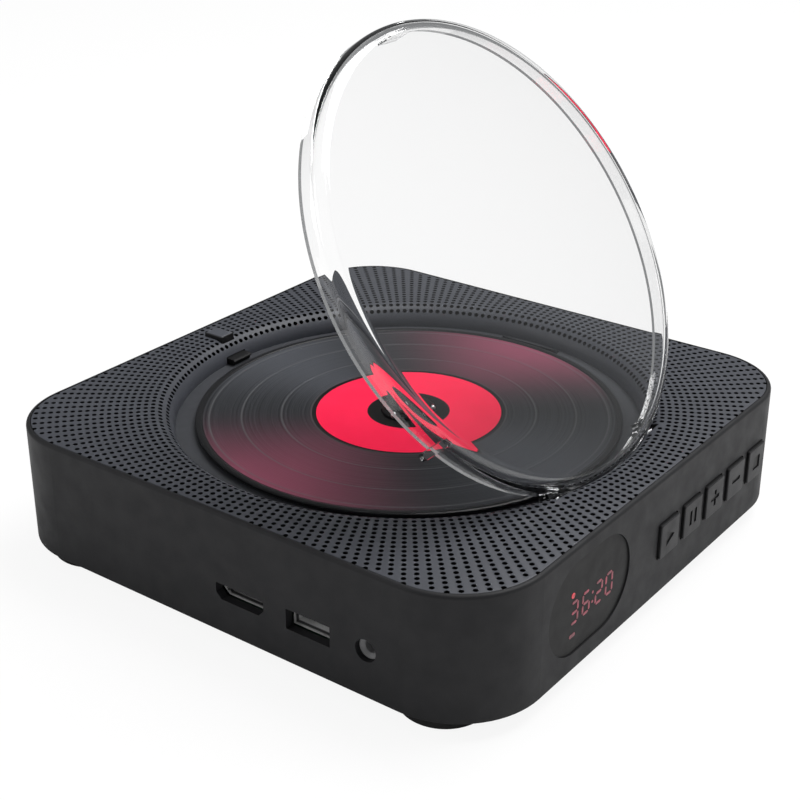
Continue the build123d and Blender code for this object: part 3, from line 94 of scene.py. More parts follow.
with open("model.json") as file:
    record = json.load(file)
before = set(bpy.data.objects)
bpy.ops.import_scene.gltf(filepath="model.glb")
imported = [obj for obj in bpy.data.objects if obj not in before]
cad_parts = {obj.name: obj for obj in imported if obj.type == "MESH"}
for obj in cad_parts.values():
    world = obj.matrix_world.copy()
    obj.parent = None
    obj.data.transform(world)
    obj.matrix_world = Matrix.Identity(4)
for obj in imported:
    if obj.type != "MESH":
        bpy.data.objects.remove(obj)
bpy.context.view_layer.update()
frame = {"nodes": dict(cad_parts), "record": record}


# ------------------------------------------------------------ shader helpers
class Shader:
    """A small helper that adds nodes to one material."""

    def __init__(self, name):
        self.material = bpy.data.materials.new(name)
        self.material.use_nodes = True
        self.tree = self.material.node_tree
        self.base = self.tree.nodes["Principled BSDF"]

    def node(self, kind, inputs=None, **settings):
        made = self.tree.nodes.new(kind)
        for key, value in settings.items():
            setattr(made, key, value)
        for key, value in (inputs or {}).items():
            if isinstance(value, bpy.types.NodeSocket):
                self.tree.links.new(value, made.inputs[key])
            else:
                made.inputs[key].default_value = value
        return made

    def link(self, socket, target):
        self.tree.links.new(socket, self.base.inputs[target])

    def value(self, target, number):
        self.base.inputs[target].default_value = number

    def place(self):
        return self.node("ShaderNodeTexCoord").outputs["Object"]

    def math(self, operation, a, b=0.0, c=0.0):
        made = self.node("ShaderNodeMath", operation=operation)
        for socket, value in zip(made.inputs, (a, b, c)):
            if isinstance(value, bpy.types.NodeSocket):
                self.tree.links.new(value, socket)
            else:
                socket.default_value = value
        return made.outputs[0]

    def noise(self, scale, detail=3.0, roughness=0.5, vector=None):
        inputs = {"Vector": vector or self.place(), "Scale": scale, "Detail": detail, "Roughness": roughness}
        return self.node("ShaderNodeTexNoise", inputs).outputs["Fac"]

    def spread(self, value, low, high, start=0.3, end=0.7):
        """Maps a noise value from start..end to low..high."""
        inputs = {"Value": value, "From Min": start, "From Max": end, "To Min": low, "To Max": high}
        return self.node("ShaderNodeMapRange", inputs).outputs["Result"]

    def mix(self, factor, a, b):
        made = self.node("ShaderNodeMix", data_type="RGBA")
        for name, value in (("Factor", factor), ("A", a), ("B", b)):
            socket = next(s for s in made.inputs if s.name == name and (name == "Factor" or s.type == "RGBA"))
            if isinstance(value, bpy.types.NodeSocket):
                self.tree.links.new(value, socket)
            else:
                socket.default_value = value if name == "Factor" else (*value, 1.0)
        return next(s for s in made.outputs if s.type == "RGBA")

    def bump(self, height, strength, distance):
        made = self.node("ShaderNodeBump", {"Height": height, "Strength": strength, "Distance": distance})
        self.link(made.outputs["Normal"], "Normal")

    def edge_rub_and_highlight(self, radius):
        """1 on sharp edges, 0 on flat faces."""
        bevel = self.node("ShaderNodeBevel", {"Radius": radius}, samples=4).outputs["Normal"]
        flat = self.node("ShaderNodeNewGeometry").outputs["Normal"]
        dot = self.node("ShaderNodeVectorMath", {0: bevel, 1: flat}, operation="DOT_PRODUCT").outputs["Value"]
        return self.spread(dot, 1.0, 0.0, 0.75, 0.98)


def shade(colour, factor):
    return tuple(c * factor for c in colour)


def moulded(name, colour, roughness, grain=2200.0, depth=0.00004, specular=0.35, wear_and_highlight=0.25):
    """Moulded plastic with a fine grain, faint blotches and paler edges, partly wear and partly a painted highlight.
    """
    s = Shader(name)
    blotch = s.noise(35.0, 4.0)
    body = s.mix(s.spread(blotch, 0.0, 1.0), shade(colour, 0.95), shade(colour, 1.05))
    # Paler edges: partly wear, partly a painted highlight on the rounded edges.
    worn_and_lit_edge = s.math("MULTIPLY", s.edge_rub_and_highlight(0.0004), wear_and_highlight)
    s.link(s.mix(worn_and_lit_edge, body, shade(colour, 1.8)), "Base Color")
    fine = s.noise(grain, 2.0, 0.6)
    s.link(s.spread(s.noise(180.0), roughness - 0.05, roughness + 0.06), "Roughness")
    s.bump(fine, 0.35, depth)
    s.value("Specular IOR Level", specular)
    return s.material


def grille_plastic(name, colour):
    """Satin moulded plastic with painted shade: black below its outer skin, in the holes and where it meets the
    casing.
    """
    s = Shader(name)
    where = s.node("ShaderNodeSeparateXYZ", {"Vector": s.place()}).outputs
    square = s.math("ADD", s.math("MULTIPLY", where[0], where[0]), s.math("MULTIPLY", where[1], where[1]))
    inward = s.math("MAXIMUM", s.math("SUBTRACT", ROLL_R * MM, s.math("SQRT", square)), 0.0)
    upward = s.math("MAXIMUM", s.math("SUBTRACT", where[2], Z_ROLL * MM), 0.0)
    reach = s.math("ADD", s.math("MULTIPLY", inward, inward), s.math("MULTIPLY", upward, upward))
    depth = s.math("SUBTRACT", SHOULDER_R * MM, s.math("SQRT", reach))
    body = s.mix(s.spread(s.noise(35.0, 4.0), 0.0, 1.0), shade(colour, 0.95), shade(colour, 1.05))
    # Painted shade: black in the hole walls and on the panel's edge at the seam with the casing.
    s.link(s.mix(s.spread(depth, 0.0, 1.0, 0.06 * MM, 0.2 * MM), body, (0.001, 0.001, 0.001)), "Base Color")
    s.link(s.spread(s.noise(180.0), 0.43, 0.54), "Roughness")
    s.bump(s.noise(1500.0, 2.0, 0.6), 0.35, 0.00004)
    s.value("Specular IOR Level", 0.28)
    return s.material


def metal(name, colour, roughness, stretch=(1.0, 1.0, 12.0), scale=400.0):
    """Metal with faint drawing lines and uneven polish."""
    s = Shader(name)
    mapped = s.node("ShaderNodeMapping", {"Vector": s.place(), "Scale": stretch}).outputs["Vector"]
    lines = s.noise(scale, 4.0, 0.6, mapped)
    s.link(s.mix(s.spread(lines, 0.0, 1.0), shade(colour, 0.85), shade(colour, 1.05)), "Base Color")
    s.link(s.spread(lines, roughness - 0.06, roughness + 0.1), "Roughness")
    s.value("Metallic", 1.0)
    s.bump(lines, 0.12, 0.00002)
    return s.material


def rubber(name, colour):
    s = Shader(name)
    dust = s.noise(90.0, 5.0, 0.6)
    s.link(s.mix(s.spread(dust, 0.0, 0.5, 0.45, 0.8), colour, shade(colour, 2.0)), "Base Color")
    s.link(s.spread(s.noise(600.0), 0.72, 0.88), "Roughness")
    s.bump(s.noise(1500.0, 3.0), 0.3, 0.00005)
    s.value("Specular IOR Level", 0.3)
    return s.material


def clear_plastic(name):
    """Clear moulded plastic, greyer where it is seen edge on, and very slightly wavy."""
    s = Shader(name)
    grazing = s.node("ShaderNodeLayerWeight", {"Blend": 0.5}).outputs["Facing"]
    s.link(s.mix(s.math("POWER", grazing, 3.5), (1.0, 1.0, 1.0), (0.13, 0.14, 0.15)), "Base Color")
    s.value("Transmission Weight", 1.0)
    s.value("IOR", 1.49)
    s.value("Roughness", 0.0)
    s.bump(s.noise(9.0, 1.0), 0.01, 0.0002)
    return s.material


def glass(name):
    s = Shader(name)
    s.value("Base Color", (0.85, 0.9, 1.0, 1.0))
    s.value("Transmission Weight", 1.0)
    s.value("IOR", 1.6)
    s.link(s.spread(s.noise(400.0), 0.0, 0.02), "Roughness")
    return s.material


def smoked_window(name):
    s = Shader(name)
    colour = (0.0125, 0.0125, 0.0127)
    s.link(s.mix(s.spread(s.noise(60.0), 0.0, 1.0), shade(colour, 0.92), shade(colour, 1.08)), "Base Color")
    s.link(s.spread(s.noise(250.0, 5.0), 0.42, 0.52), "Roughness")
    s.bump(s.noise(900.0), 0.05, 0.00002)
    s.value("Specular IOR Level", 0.08)
    return s.material


def circuit_board(name):
    """Green laminate with paler tracks under the coating."""
    s = Shader(name)
    place = s.place()
    bricks = s.node("ShaderNodeTexBrick", {"Vector": place, "Scale": 160.0, "Mortar Size": 0.03,
                                           "Color1": (0.003, 0.012, 0.007, 1), "Color2": (0.004, 0.016, 0.009, 1),
                                           "Mortar": (0.012, 0.04, 0.02, 1)})
    s.link(bricks.outputs["Color"], "Base Color")
    s.link(s.spread(s.noise(300.0), 0.3, 0.45), "Roughness")
    s.bump(bricks.outputs["Fac"], 0.2, 0.00003)
    return s.material


def paper_cone(name):
    s = Shader(name)
    fibres = s.noise(900.0, 6.0, 0.7)
    s.link(s.mix(s.spread(fibres, 0.0, 1.0), (0.02, 0.02, 0.02), (0.06, 0.06, 0.058)), "Base Color")
    s.value("Roughness", 0.9)
    s.bump(fibres, 0.4, 0.00008)
    return s.material


def socket_shell(name, inner):
    """A tin-plated shell with a bright rim, a dark band behind it and pale grey further in, painted light that lifts
    the shadowed inside of the recess; the tongue and the block inside it are moulded plastic.
    """
    s = Shader(name)
    lines = s.noise(500.0, 4.0)
    low, high, colour = inner
    where = s.node("ShaderNodeSeparateXYZ", {"Vector": s.place()}).outputs
    inside = None
    for axis in range(3):
        above = s.math("GREATER_THAN", where[axis], low[axis] * MM)
        below = s.math("LESS_THAN", where[axis], high[axis] * MM)
        both = s.math("MULTIPLY", above, below)
        inside = both if inside is None else s.math("MULTIPLY", inside, both)
    tin_and_painted_light = s.mix(s.spread(lines, 0.0, 1.0), (0.38, 0.38, 0.38), (0.48, 0.48, 0.47))
    # Behind the tin rim: a dark band, then pale grey further in, painted light on the shadowed inside of the recess.
    deep = s.spread(where[1], 0.0, 1.0, (SOCKET_FRONT + 0.3) * MM, (SOCKET_FRONT + 0.5) * MM)
    far = s.spread(where[1], 0.0, 1.0, (SOCKET_FRONT + 1.2) * MM, (SOCKET_FRONT + 1.6) * MM)
    tin_and_painted_light = s.mix(deep, tin_and_painted_light, s.mix(far, (0.05, 0.05, 0.052), (0.8, 0.8, 0.8)))
    s.link(s.mix(inside, tin_and_painted_light, colour), "Base Color")
    s.link(s.math("MULTIPLY", s.math("SUBTRACT", 1.0, inside), 0.3), "Metallic")
    s.link(s.spread(lines, 0.3, 0.45), "Roughness")
    s.bump(lines, 0.1, 0.00002)
    return s.material


def disc_print_and_sheen(name):
    """Black grooved disc with a pink label, a painted pink sheen in two opposite sectors, a painted grey sheen in
    the two between, and paler rings between the tracks.
    """
    s = Shader(name)
    where = s.node("ShaderNodeSeparateXYZ", {"Vector": s.place()}).outputs
    x, y = where[0], where[1]
    square = s.math("ADD", s.math("MULTIPLY", x, x), s.math("MULTIPLY", y, y))
    radius = s.math("MULTIPLY", s.math("SQRT", square), 1000.0)
    angle = s.math("ARCTAN2", y, x)

    def band(low, high, soft):
        """1 between two radii, with soft edges."""
        rise = s.spread(radius, 0.0, 1.0, low - soft, low + soft)
        fall = s.spread(radius, 1.0, 0.0, high - soft, high + soft)
        return s.math("MULTIPLY", rise, fall)

    along = s.node("ShaderNodeCombineXYZ", {"X": s.math("MULTIPLY", radius, 1.6)}).outputs[0]
    tracks = s.noise(1.0, 2.0, 0.5, along)
    black = s.mix(s.spread(tracks, 0.0, 1.0), (0.005, 0.0055, 0.007), (0.033, 0.035, 0.039))
    # Painted sheen: a pink reflection in two opposite sectors, strongest towards the rim.
    lobes = s.math("COSINE", s.math("MULTIPLY", s.math("SUBTRACT", angle, math.radians(PINK_ANGLE)), 2.0))
    pink_sheen = s.math("POWER", s.spread(lobes, 0.0, 1.0, -0.3, 1.0), 2.2)
    pink_sheen = s.math("MULTIPLY", pink_sheen, s.spread(radius, 0.35, 1.0, 26.0, 58.0))
    colour = s.mix(s.math("MULTIPLY", pink_sheen, 0.85), black, (0.25, 0.055, 0.098))
    # Painted sheen: a grey reflection in the two sectors between the pink ones.
    lobes = s.math("COSINE", s.math("MULTIPLY", s.math("SUBTRACT", angle, math.radians(SHEEN_ANGLE)), 2.0))
    sheen = s.math("POWER", s.spread(lobes, 0.0, 1.0, 0.0, 1.0), 2.5)
    colour = s.mix(s.math("MULTIPLY", sheen, 0.5), colour, (0.085, 0.09, 0.105))
    for ring in PLAIN_RINGS:
        colour = s.mix(s.math("MULTIPLY", band(ring - 0.25, ring + 0.25, 0.12), 0.55), colour, (0.10, 0.10, 0.105))
    for low, high, ring in ((57.9, 61.0, (0.007, 0.007, 0.008)), (27.2, 27.7, (0.06, 0.05, 0.055)),
                            (26.0, 27.2, (0.0015, 0.0015, 0.0015))):
        colour = s.mix(band(low, high, 0.06), colour, ring)
    ink = s.noise(70.0, 4.0)
    pink = s.mix(s.spread(ink, 0.0, 1.0), (0.95, 0.006, 0.062), (1.0, 0.012, 0.075))
    colour = s.mix(band(LABEL_HOLE, 26.0, 0.05), colour, pink)
    colour = s.mix(s.spread(radius, 1.0, 0.0, LABEL_HOLE - 0.05, LABEL_HOLE + 0.05), colour, (0.003, 0.003, 0.003))
    s.link(colour, "Base Color")
    label = s.spread(radius, 1.0, 0.0, 26.2, 26.5)
    s.link(s.mix(label, (0.33, 0.33, 0.33), (0.62, 0.62, 0.62)), "Roughness")
    s.value("Specular IOR Level", 0.2)
    return s.material


def lit_top_shaded_sides(name, top_colour, side_colour):
    """Painted light and shade: paler on faces that look up, black on the sides."""
    s = Shader(name)
    up = s.node("ShaderNodeSeparateXYZ", {"Vector": s.node("ShaderNodeTexCoord").outputs["Normal"]}).outputs[2]
    # Painted light on upward faces, painted shade on the sides.
    s.link(s.mix(s.spread(up, 0.0, 1.0, 0.55, 0.9), side_colour, top_colour), "Base Color")
    s.link(s.spread(s.noise(200.0), 0.42, 0.52), "Roughness")
    s.bump(s.noise(2200.0, 2.0), 0.3, 0.00003)
    s.value("Specular IOR Level", 0.35)
    return s.material


def key_plastic(name, colour):
    """Moulded plastic with painted shade below the key's face, in the engraved icon and down its sides, and paler
    edges that are partly a painted highlight.
    """
    s = Shader(name)
    depth = s.node("ShaderNodeSeparateXYZ", {"Vector": s.place()}).outputs[0]
    # Painted shade: a quarter as bright below the face, in the engraved icon and down the sides.
    face = s.spread(depth, 0.0, 1.0, (KEY_FACE - 0.3) * MM, (KEY_FACE - 0.2) * MM)
    # Paler rounded edges: partly wear, partly a painted highlight.
    worn_and_lit_edge = s.math("MULTIPLY", s.edge_rub_and_highlight(0.0004), 0.3)
    body = s.mix(s.math("MULTIPLY", worn_and_lit_edge, face), colour, shade(colour, 1.8))
    s.link(s.mix(face, shade(colour, 0.25), body), "Base Color")
    s.link(s.spread(s.noise(180.0), 0.46, 0.56), "Roughness")
    s.bump(s.noise(2200.0, 2.0, 0.6), 0.35, 0.00004)
    s.value("Specular IOR Level", 0.25)
    return s.material


def glowing(name, colour, strength):
    """A lit segment behind smoked plastic, unevenly bright."""
    s = Shader(name)
    s.value("Base Color", (0.02, 0.004, 0.004, 1.0))
    flicker = s.spread(s.noise(700.0), 0.0, 1.0, 0.35, 0.65)
    tint = s.mix(flicker, shade(colour, 0.45), shade(colour, 1.25))
    s.link(tint, "Emission Color")
    s.value("Emission Strength", strength)
    s.value("Roughness", 0.4)
    return s.material


# Directions of the painted pink and grey sheen on the disc, in degrees.
PINK_ANGLE = -93.0
SHEEN_ANGLE = 174.0
CHARCOAL = (0.0105, 0.0105, 0.0118)
GRILLE = (0.048, 0.051, 0.061)
BLACK = (0.006, 0.006, 0.0065)

materials = {
    # The casing's paler edges are a painted highlight along its fillets, partly wear.
    "charcoal_plastic": moulded("charcoal_plastic", CHARCOAL, 0.6, specular=0.25, wear_and_highlight=0.3),
    "grille_plastic": grille_plastic("grille_plastic", GRILLE),
    "inner_plastic": moulded("inner_plastic", BLACK, 0.5, specular=0.2),
    "clear_plastic": clear_plastic("clear_plastic"),
    "dark_window": smoked_window("dark_window"),
    "key_plastic": key_plastic("key_plastic", shade(CHARCOAL, 1.15)),
    "soft_rubber": rubber("soft_rubber", (0.012, 0.012, 0.012)),
    "steel": metal("steel", (0.52, 0.53, 0.54), 0.32),
    "spring_steel": metal("spring_steel", (0.42, 0.43, 0.45), 0.3),
    "board_green": circuit_board("board_green"),
    "chip_black": moulded("chip_black", (0.012, 0.012, 0.013), 0.6, grain=3000.0),
    "disc_plastic": disc_print_and_sheen("disc_plastic"),
    "white_plastic": moulded("white_plastic", (0.55, 0.55, 0.53), 0.45),
    "lens_clear": glass("lens_clear"),
    "battery_wrap": moulded("battery_wrap", (0.03, 0.10, 0.30), 0.35),
    "cone_paper": paper_cone("cone_paper"),
    "magnet_black": metal("magnet_black", (0.05, 0.05, 0.055), 0.5),
    "connector_shell": metal("connector_shell", (0.5, 0.5, 0.5), 0.35),
}
special = {
    "hdmi_port": socket_shell("hdmi_shell", ((2.5, -90, 16.4), (15.2, 0, 18.4), (0.10, 0.10, 0.105))),
    "usb_port": socket_shell("usb_shell", ((25.2, -78.5, 16.2), (36.5, 0, 19.9), (0.8, 0.8, 0.8))),
    "audio_jack": moulded("jack_plastic", (0.20, 0.20, 0.205), 0.45),
    "well_floor": moulded("well_plastic", (0.042, 0.044, 0.05), 0.5, specular=0.25),
    "open_button": lit_top_shaded_sides("button_plastic", shade(GRILLE, 1.1), shade(BLACK, 1.0)),
}


# ------------------------------------------------------------ mesh helpers
def add_piece(name, bm, body, material, smooth_angle=30.0):
    """A finished piece from a bmesh in metres, riding on a body."""
    bmesh.ops.remove_doubles(bm, verts=bm.verts, dist=1e-7)
    bmesh.ops.recalc_face_normals(bm, faces=bm.faces)
    data = bpy.data.meshes.new(name)
    bm.to_mesh(data)
    bm.free()
    piece = bpy.data.objects.new(name, data)
    bpy.context.scene.collection.objects.link(piece)
    soften(data, smooth_angle)
    data.materials.append(material)
    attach(piece, body)
    return piece


def soften(data, angle):
    """Smooth shading, with edges sharper than this angle kept hard."""
    bm = bmesh.new()
    bm.from_mesh(data)
    limit = math.radians(angle)
    for face in bm.faces:
        face.smooth = True
    for edge in bm.edges:
        edge.smooth = len(edge.link_faces) == 2 and edge.calc_face_angle(math.pi) < limit
    bm.to_mesh(data)
    bm.free()


def ring_faces(bm, rings, closed):
    """Quads between neighbouring rings of vertices; each ring is closed on itself."""
    pairs = list(zip(rings, rings[1:]))
    if closed:
        pairs.append((rings[-1], rings[0]))
    for low, high in pairs:
        count = len(low)
        for i in range(count):
            j = (i + 1) % count
            bm.faces.new((low[i], low[j], high[j], high[i]))


def add_ring(bm, points):
    return [bm.verts.new(Vector(p) * MM) for p in points]


def revolved(profile, segments):
    """A closed solid of revolution about Z from (radius, z) points in mm."""
    bm = bmesh.new()
    rings = []
    for radius, z in profile:
        turns = [2 * math.pi * i / segments for i in range(segments)]
        rings.append(add_ring(bm, [(radius * math.cos(t), radius * math.sin(t), z) for t in turns]))
    ring_faces(bm, rings, True)
    return bm


def prism(bm, outline, low, high):
    """A closed prism between two placings of an outline: low and high map (a, b) to a point in mm."""
    bottom = add_ring(bm, [low(a, b) for a, b in outline])
    top = add_ring(bm, [high(a, b) for a, b in outline])
    ring_faces(bm, [bottom, top], False)
    bm.faces.new(bottom)
    bm.faces.new(top)


def box_mesh(bm, x0, x1, y0, y1, z0, z1):
    corners = [(x0, y0), (x1, y0), (x1, y1), (x0, y1)]
    prism(bm, corners, lambda a, b: (a, b, z0), lambda a, b: (a, b, z1))


def cylinder_mesh(bm, start, end, radius, sides, phase=0.0):
    """A cylinder between two points in mm."""
    start, end = Vector(start), Vector(end)
    along = (end - start).normalized()
    side = along.orthogonal().normalized()
    other = along.cross(side)
    offsets = []
    for i in range(sides):
        turn = 2 * math.pi * i / sides + phase
        offsets.append((side * math.cos(turn) + other * math.sin(turn)) * radius)
    bottom = add_ring(bm, [start + o for o in offsets])
    top = add_ring(bm, [end + o for o in offsets])
    ring_faces(bm, [bottom, top], False)
    bm.faces.new(bottom)
    bm.faces.new(top)


def temporary(name, bm):
    bmesh.ops.recalc_face_normals(bm, faces=bm.faces)
    data = bpy.data.meshes.new(name)
    bm.to_mesh(data)
    bm.free()
    made = bpy.data.objects.new(name, data)
    bpy.context.scene.collection.objects.link(made)
    return made


def combined(target_bm, tools, operations):
    """Boolean operations on a bmesh with a list of bmeshes; returns the result as a bmesh."""
    target = temporary("target", target_bm)
    made = [temporary("tool", tool) for tool in tools]
    for tool, operation in zip(made, operations):
        modifier = target.modifiers.new("cut", "BOOLEAN")
        modifier.operation = operation
        modifier.solver = "MANIFOLD"
        modifier.object = tool
    bpy.context.view_layer.update()
    shaped = target.evaluated_get(bpy.context.evaluated_depsgraph_get()).to_mesh()
    result = bmesh.new()
    result.from_mesh(shaped)
    for thing in (target, *made):
        data = thing.data
        bpy.data.objects.remove(thing)
        bpy.data.meshes.remove(data)
    return result


# ------------------------------------------------------------ grille panel
def square_reach(turn, side, corner):
    """Distance from the centre to the edge of a rounded square in this direction."""
    c, s = abs(math.cos(turn)), abs(math.sin(turn))
    half = side / 2
    inner = half - corner
    reach = half / max(c, s)
    if reach * min(c, s) <= inner:
        return reach
    along = inner * (c + s)
    return along + math.sqrt(along * along - 2 * inner * inner + corner * corner)


def grille_solid():
    bm = bmesh.new()
    turns = [2 * math.pi * i / PANEL_COLUMNS for i in range(PANEL_COLUMNS)]
    edge = 0.25

    def outer(inset, z):
        reach = [square_reach(t, PANEL_SIDE - 2 * inset, PANEL_CORNER - inset) for t in turns]
        return add_ring(bm, [(r * math.cos(t), r * math.sin(t), z) for r, t in zip(reach, turns)])

    def inner(radius, z):
        return add_ring(bm, [(radius * math.cos(t), radius * math.sin(t), z) for t in turns])

    low = Z_TOP - PANEL_T
    rings = [outer(0, low), outer(0, Z_TOP - edge), outer(edge * 0.3, Z_TOP - edge * 0.3), outer(edge, Z_TOP)]
    steps = 14
    for i in range(steps + 1):
        bend = math.pi / 2 * (1 - i / steps)
        rings.append(inner(ROLL_R - SHOULDER_R * math.cos(bend), Z_ROLL + SHOULDER_R * math.sin(bend)))
    rings.append(inner(ROLL_R - SHOULDER_R, Z_FLOOR))
    rings.append(inner(ROLL_R - SHOULDER_R + PANEL_T, Z_FLOOR))
    for i in range(steps + 1):
        bend = math.pi / 2 * i / steps
        radius = SHOULDER_R - PANEL_T
        rings.append(inner(ROLL_R - radius * math.cos(bend), Z_ROLL + radius * math.sin(bend)))
    ring_faces(bm, rings, True)
    return bm


def grille_openings():
    """The openings for the lid's ears, its pins, the latch hook and the open button."""
    pockets = bmesh.new()
    for side in (-1, 1):
        y0, y1 = sorted((side * (EAR_FROM - EAR_GAP), side * (EAR_TO + EAR_GAP)))
        box_mesh(pockets, 40, 65.76, y0, y1, Z_FLOOR - 1, Z_TOP + 1)
    pins = bmesh.new()
    for side in (-1, 1):
        start, end = (HINGE_X, side * EAR_TO, HINGE_Z), (HINGE_X, side * PIN_HOLE_TO, HINGE_Z)
        cylinder_mesh(pins, start, end, PIN_HOLE_R, 24)
    slot = bmesh.new()
    box_mesh(slot, -ROLL_R, -55, -HOOK_SLOT_HALF, HOOK_SLOT_HALF, Z_FLOOR - 1, HOOK_SLOT_TOP)
    button = bmesh.new()
    outline = rounded_rect(7.6, 5.8, 0.5, 4)
    prism(button, outline, lambda a, b: (a + BUTTON_X, b, Z_ROLL), lambda a, b: (a + BUTTON_X, b, Z_TOP + 1))
    return [pockets, pins, slot, button]


def rounded_rect(width, height, corner, steps):
    points = []
    for cx, cy, start in ((1, 1, 0), (-1, 1, 90), (-1, -1, 180), (1, -1, 270)):
        for i in range(steps + 1):
            turn = math.radians(start + 90 * i / steps)
            points.append((cx * (width / 2 - corner) + corner * math.cos(turn),
                           cy * (height / 2 - corner) + corner * math.sin(turn)))
    return points


def hole_allowed(x, y):
    near_button = abs(x - BUTTON_X) < 4.75 and abs(y) < 3.85
    near_ear = 55 < x < 66.9 and 19.5 < abs(y) < 27.5
    return not (near_button or near_ear)


def grille_holes():
    """All the small round holes, each square to the surface where it is."""
    bm = bmesh.new()
    for column in range(HOLE_COLUMNS):
        turn = 2 * math.pi * column / HOLE_COLUMNS
        limit = square_reach(turn, PANEL_SIDE, PANEL_CORNER) - 0.15
        radius = HOLE_FIRST_R
        while radius < limit:
            x, y = radius * math.cos(turn), radius * math.sin(turn)
            if hole_allowed(x, y):
                if radius < ROLL_R:
                    slope = math.acos((ROLL_R - radius) / SHOULDER_R)
                else:
                    slope = math.pi / 2
                height = Z_ROLL + SHOULDER_R * math.sin(slope)
                flat = -math.cos(slope)
                way = Vector((flat * math.cos(turn), flat * math.sin(turn), math.sin(slope)))
                centre = Vector((x, y, height))
                cylinder_mesh(bm, centre - way * (PANEL_T + 0.4), centre + way * 0.4, HOLE_R, HOLE_SIDES)
            radius += HOLE_PITCH
    return bm


def grille_piece():
    tools = grille_openings()
    solid = combined(grille_solid(), tools + [grille_holes()], ["DIFFERENCE"] * (len(tools) + 1))
    piece = add_piece("grille_perforated", solid, "housing", materials["grille_plastic"], 35.0)
    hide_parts("grille_panel")


# ------------------------------------------------------------ lid
def dish_solid(inset, low, top, edge):
    """One closed round dish form, rounded where the rim meets the face."""
    bm = bmesh.new()
    turns = circle_turns(300)

    def ring(radius, z):
        return add_ring(bm, [(radius * math.cos(t), radius * math.sin(t), z) for t in turns])

    rings = [ring(LID_R - inset, low)]
    steps = 12
    for i in range(steps + 1):
        bend = math.pi / 2 * i / steps
        rings.append(ring(LID_R - inset - edge * (1 - math.cos(bend)), top - edge + edge * math.sin(bend)))
    ring_faces(bm, rings, False)
    bm.faces.new(rings[0])
    bm.faces.new(rings[-1])
    return bm


def relief_tool():
    """A piece of the rolled surface, grown by a gap and turned as the open lid meets it."""
    bm = bmesh.new()
    reach = SHOULDER_R + RELIEF_GAP
    profile = [(ROLL_R, Z_FLOOR), (ROLL_R, Z_ROLL + reach)]
    steps = 16
    for i in range(1, steps + 1):
        bend = math.pi / 2 * i / steps
        profile.append((ROLL_R - reach * math.sin(bend), Z_ROLL + reach * math.cos(bend)))
    profile.append((ROLL_R - reach, Z_FLOOR))
    sections = []
    for i in range(-20, 21):
        turn = math.radians(RELIEF_REACH * i / 20)
        sections.append(add_ring(bm, [(r * math.cos(turn), r * math.sin(turn), z) for r, z in profile]))
    ring_faces(bm, sections, False)
    bm.faces.new(sections[0])
    bm.faces.new(sections[-1])
    bmesh.ops.transform(bm, matrix=about_hinge(-LID_OPEN), verts=bm.verts)
    return bm


def about_hinge(angle):
    pivot = Vector((HINGE_X, 0, HINGE_Z)) * MM
    return Matrix.Translation(pivot) @ Matrix.Rotation(angle, 4, "Y") @ Matrix.Translation(-pivot)


def lid_piece():
    top = LID_LOW + LID_RIM + LID_EDGE
    outer = dish_solid(0.0, LID_LOW, top, LID_EDGE)
    hollow = dish_solid(LID_WALL, LID_LOW - 1.0, top - LID_WALL, LID_EDGE - LID_WALL)
    tools, operations = [hollow, relief_tool()], ["DIFFERENCE", "DIFFERENCE"]
    for side in (-1, 1):
        y0, y1 = sorted((side * EAR_FROM, side * EAR_TO))
        lug = bmesh.new()
        cylinder_mesh(lug, (HINGE_X, y0, HINGE_Z), (HINGE_X, y1, HINGE_Z), LUG_R, 40)
        web = bmesh.new()
        box_mesh(web, HINGE_X - LUG_WEB, HINGE_X, y0, y1, HINGE_Z - LUG_R / 2, HINGE_Z + LUG_R)
        bore = bmesh.new()
        start = (HINGE_X, side * (EAR_FROM + LUG_SKIN), HINGE_Z)
        cylinder_mesh(bore, start, (HINGE_X, side * (EAR_TO + 1), HINGE_Z), PIN_R, 40)
        tools += [lug, web, bore]
        operations += ["UNION", "UNION", "DIFFERENCE"]
    tab = bmesh.new()
    outline = rounded_rect(2.0, 10.6, 0.8, 5)
    x, y = TAB_PLACE
    prism(tab, outline, lambda a, b: (x + a, b + y, TAB_LOW), lambda a, b: (x + a, b + y, TAB_TOP))
    catch = bmesh.new()
    box_mesh(catch, CATCH_X, CATCH_X + 1.5, -CATCH_HALF, CATCH_HALF, CATCH_LOW, LID_LOW + LID_RIM)
    ledge = bmesh.new()
    box_mesh(ledge, CATCH_X - 0.5, CATCH_X + 0.7, -CATCH_HALF, CATCH_HALF, CATCH_LOW, CATCH_LOW + 0.7)
    tools += [tab, catch, ledge]
    operations += ["UNION"] * 3
    solid = combined(outer, tools, operations)
    bmesh.ops.transform(solid, matrix=about_hinge(LID_OPEN), verts=solid.verts)
    piece = add_piece("clear_lid", solid, "lid", materials["clear_plastic"], 32.0)
    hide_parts("lid")


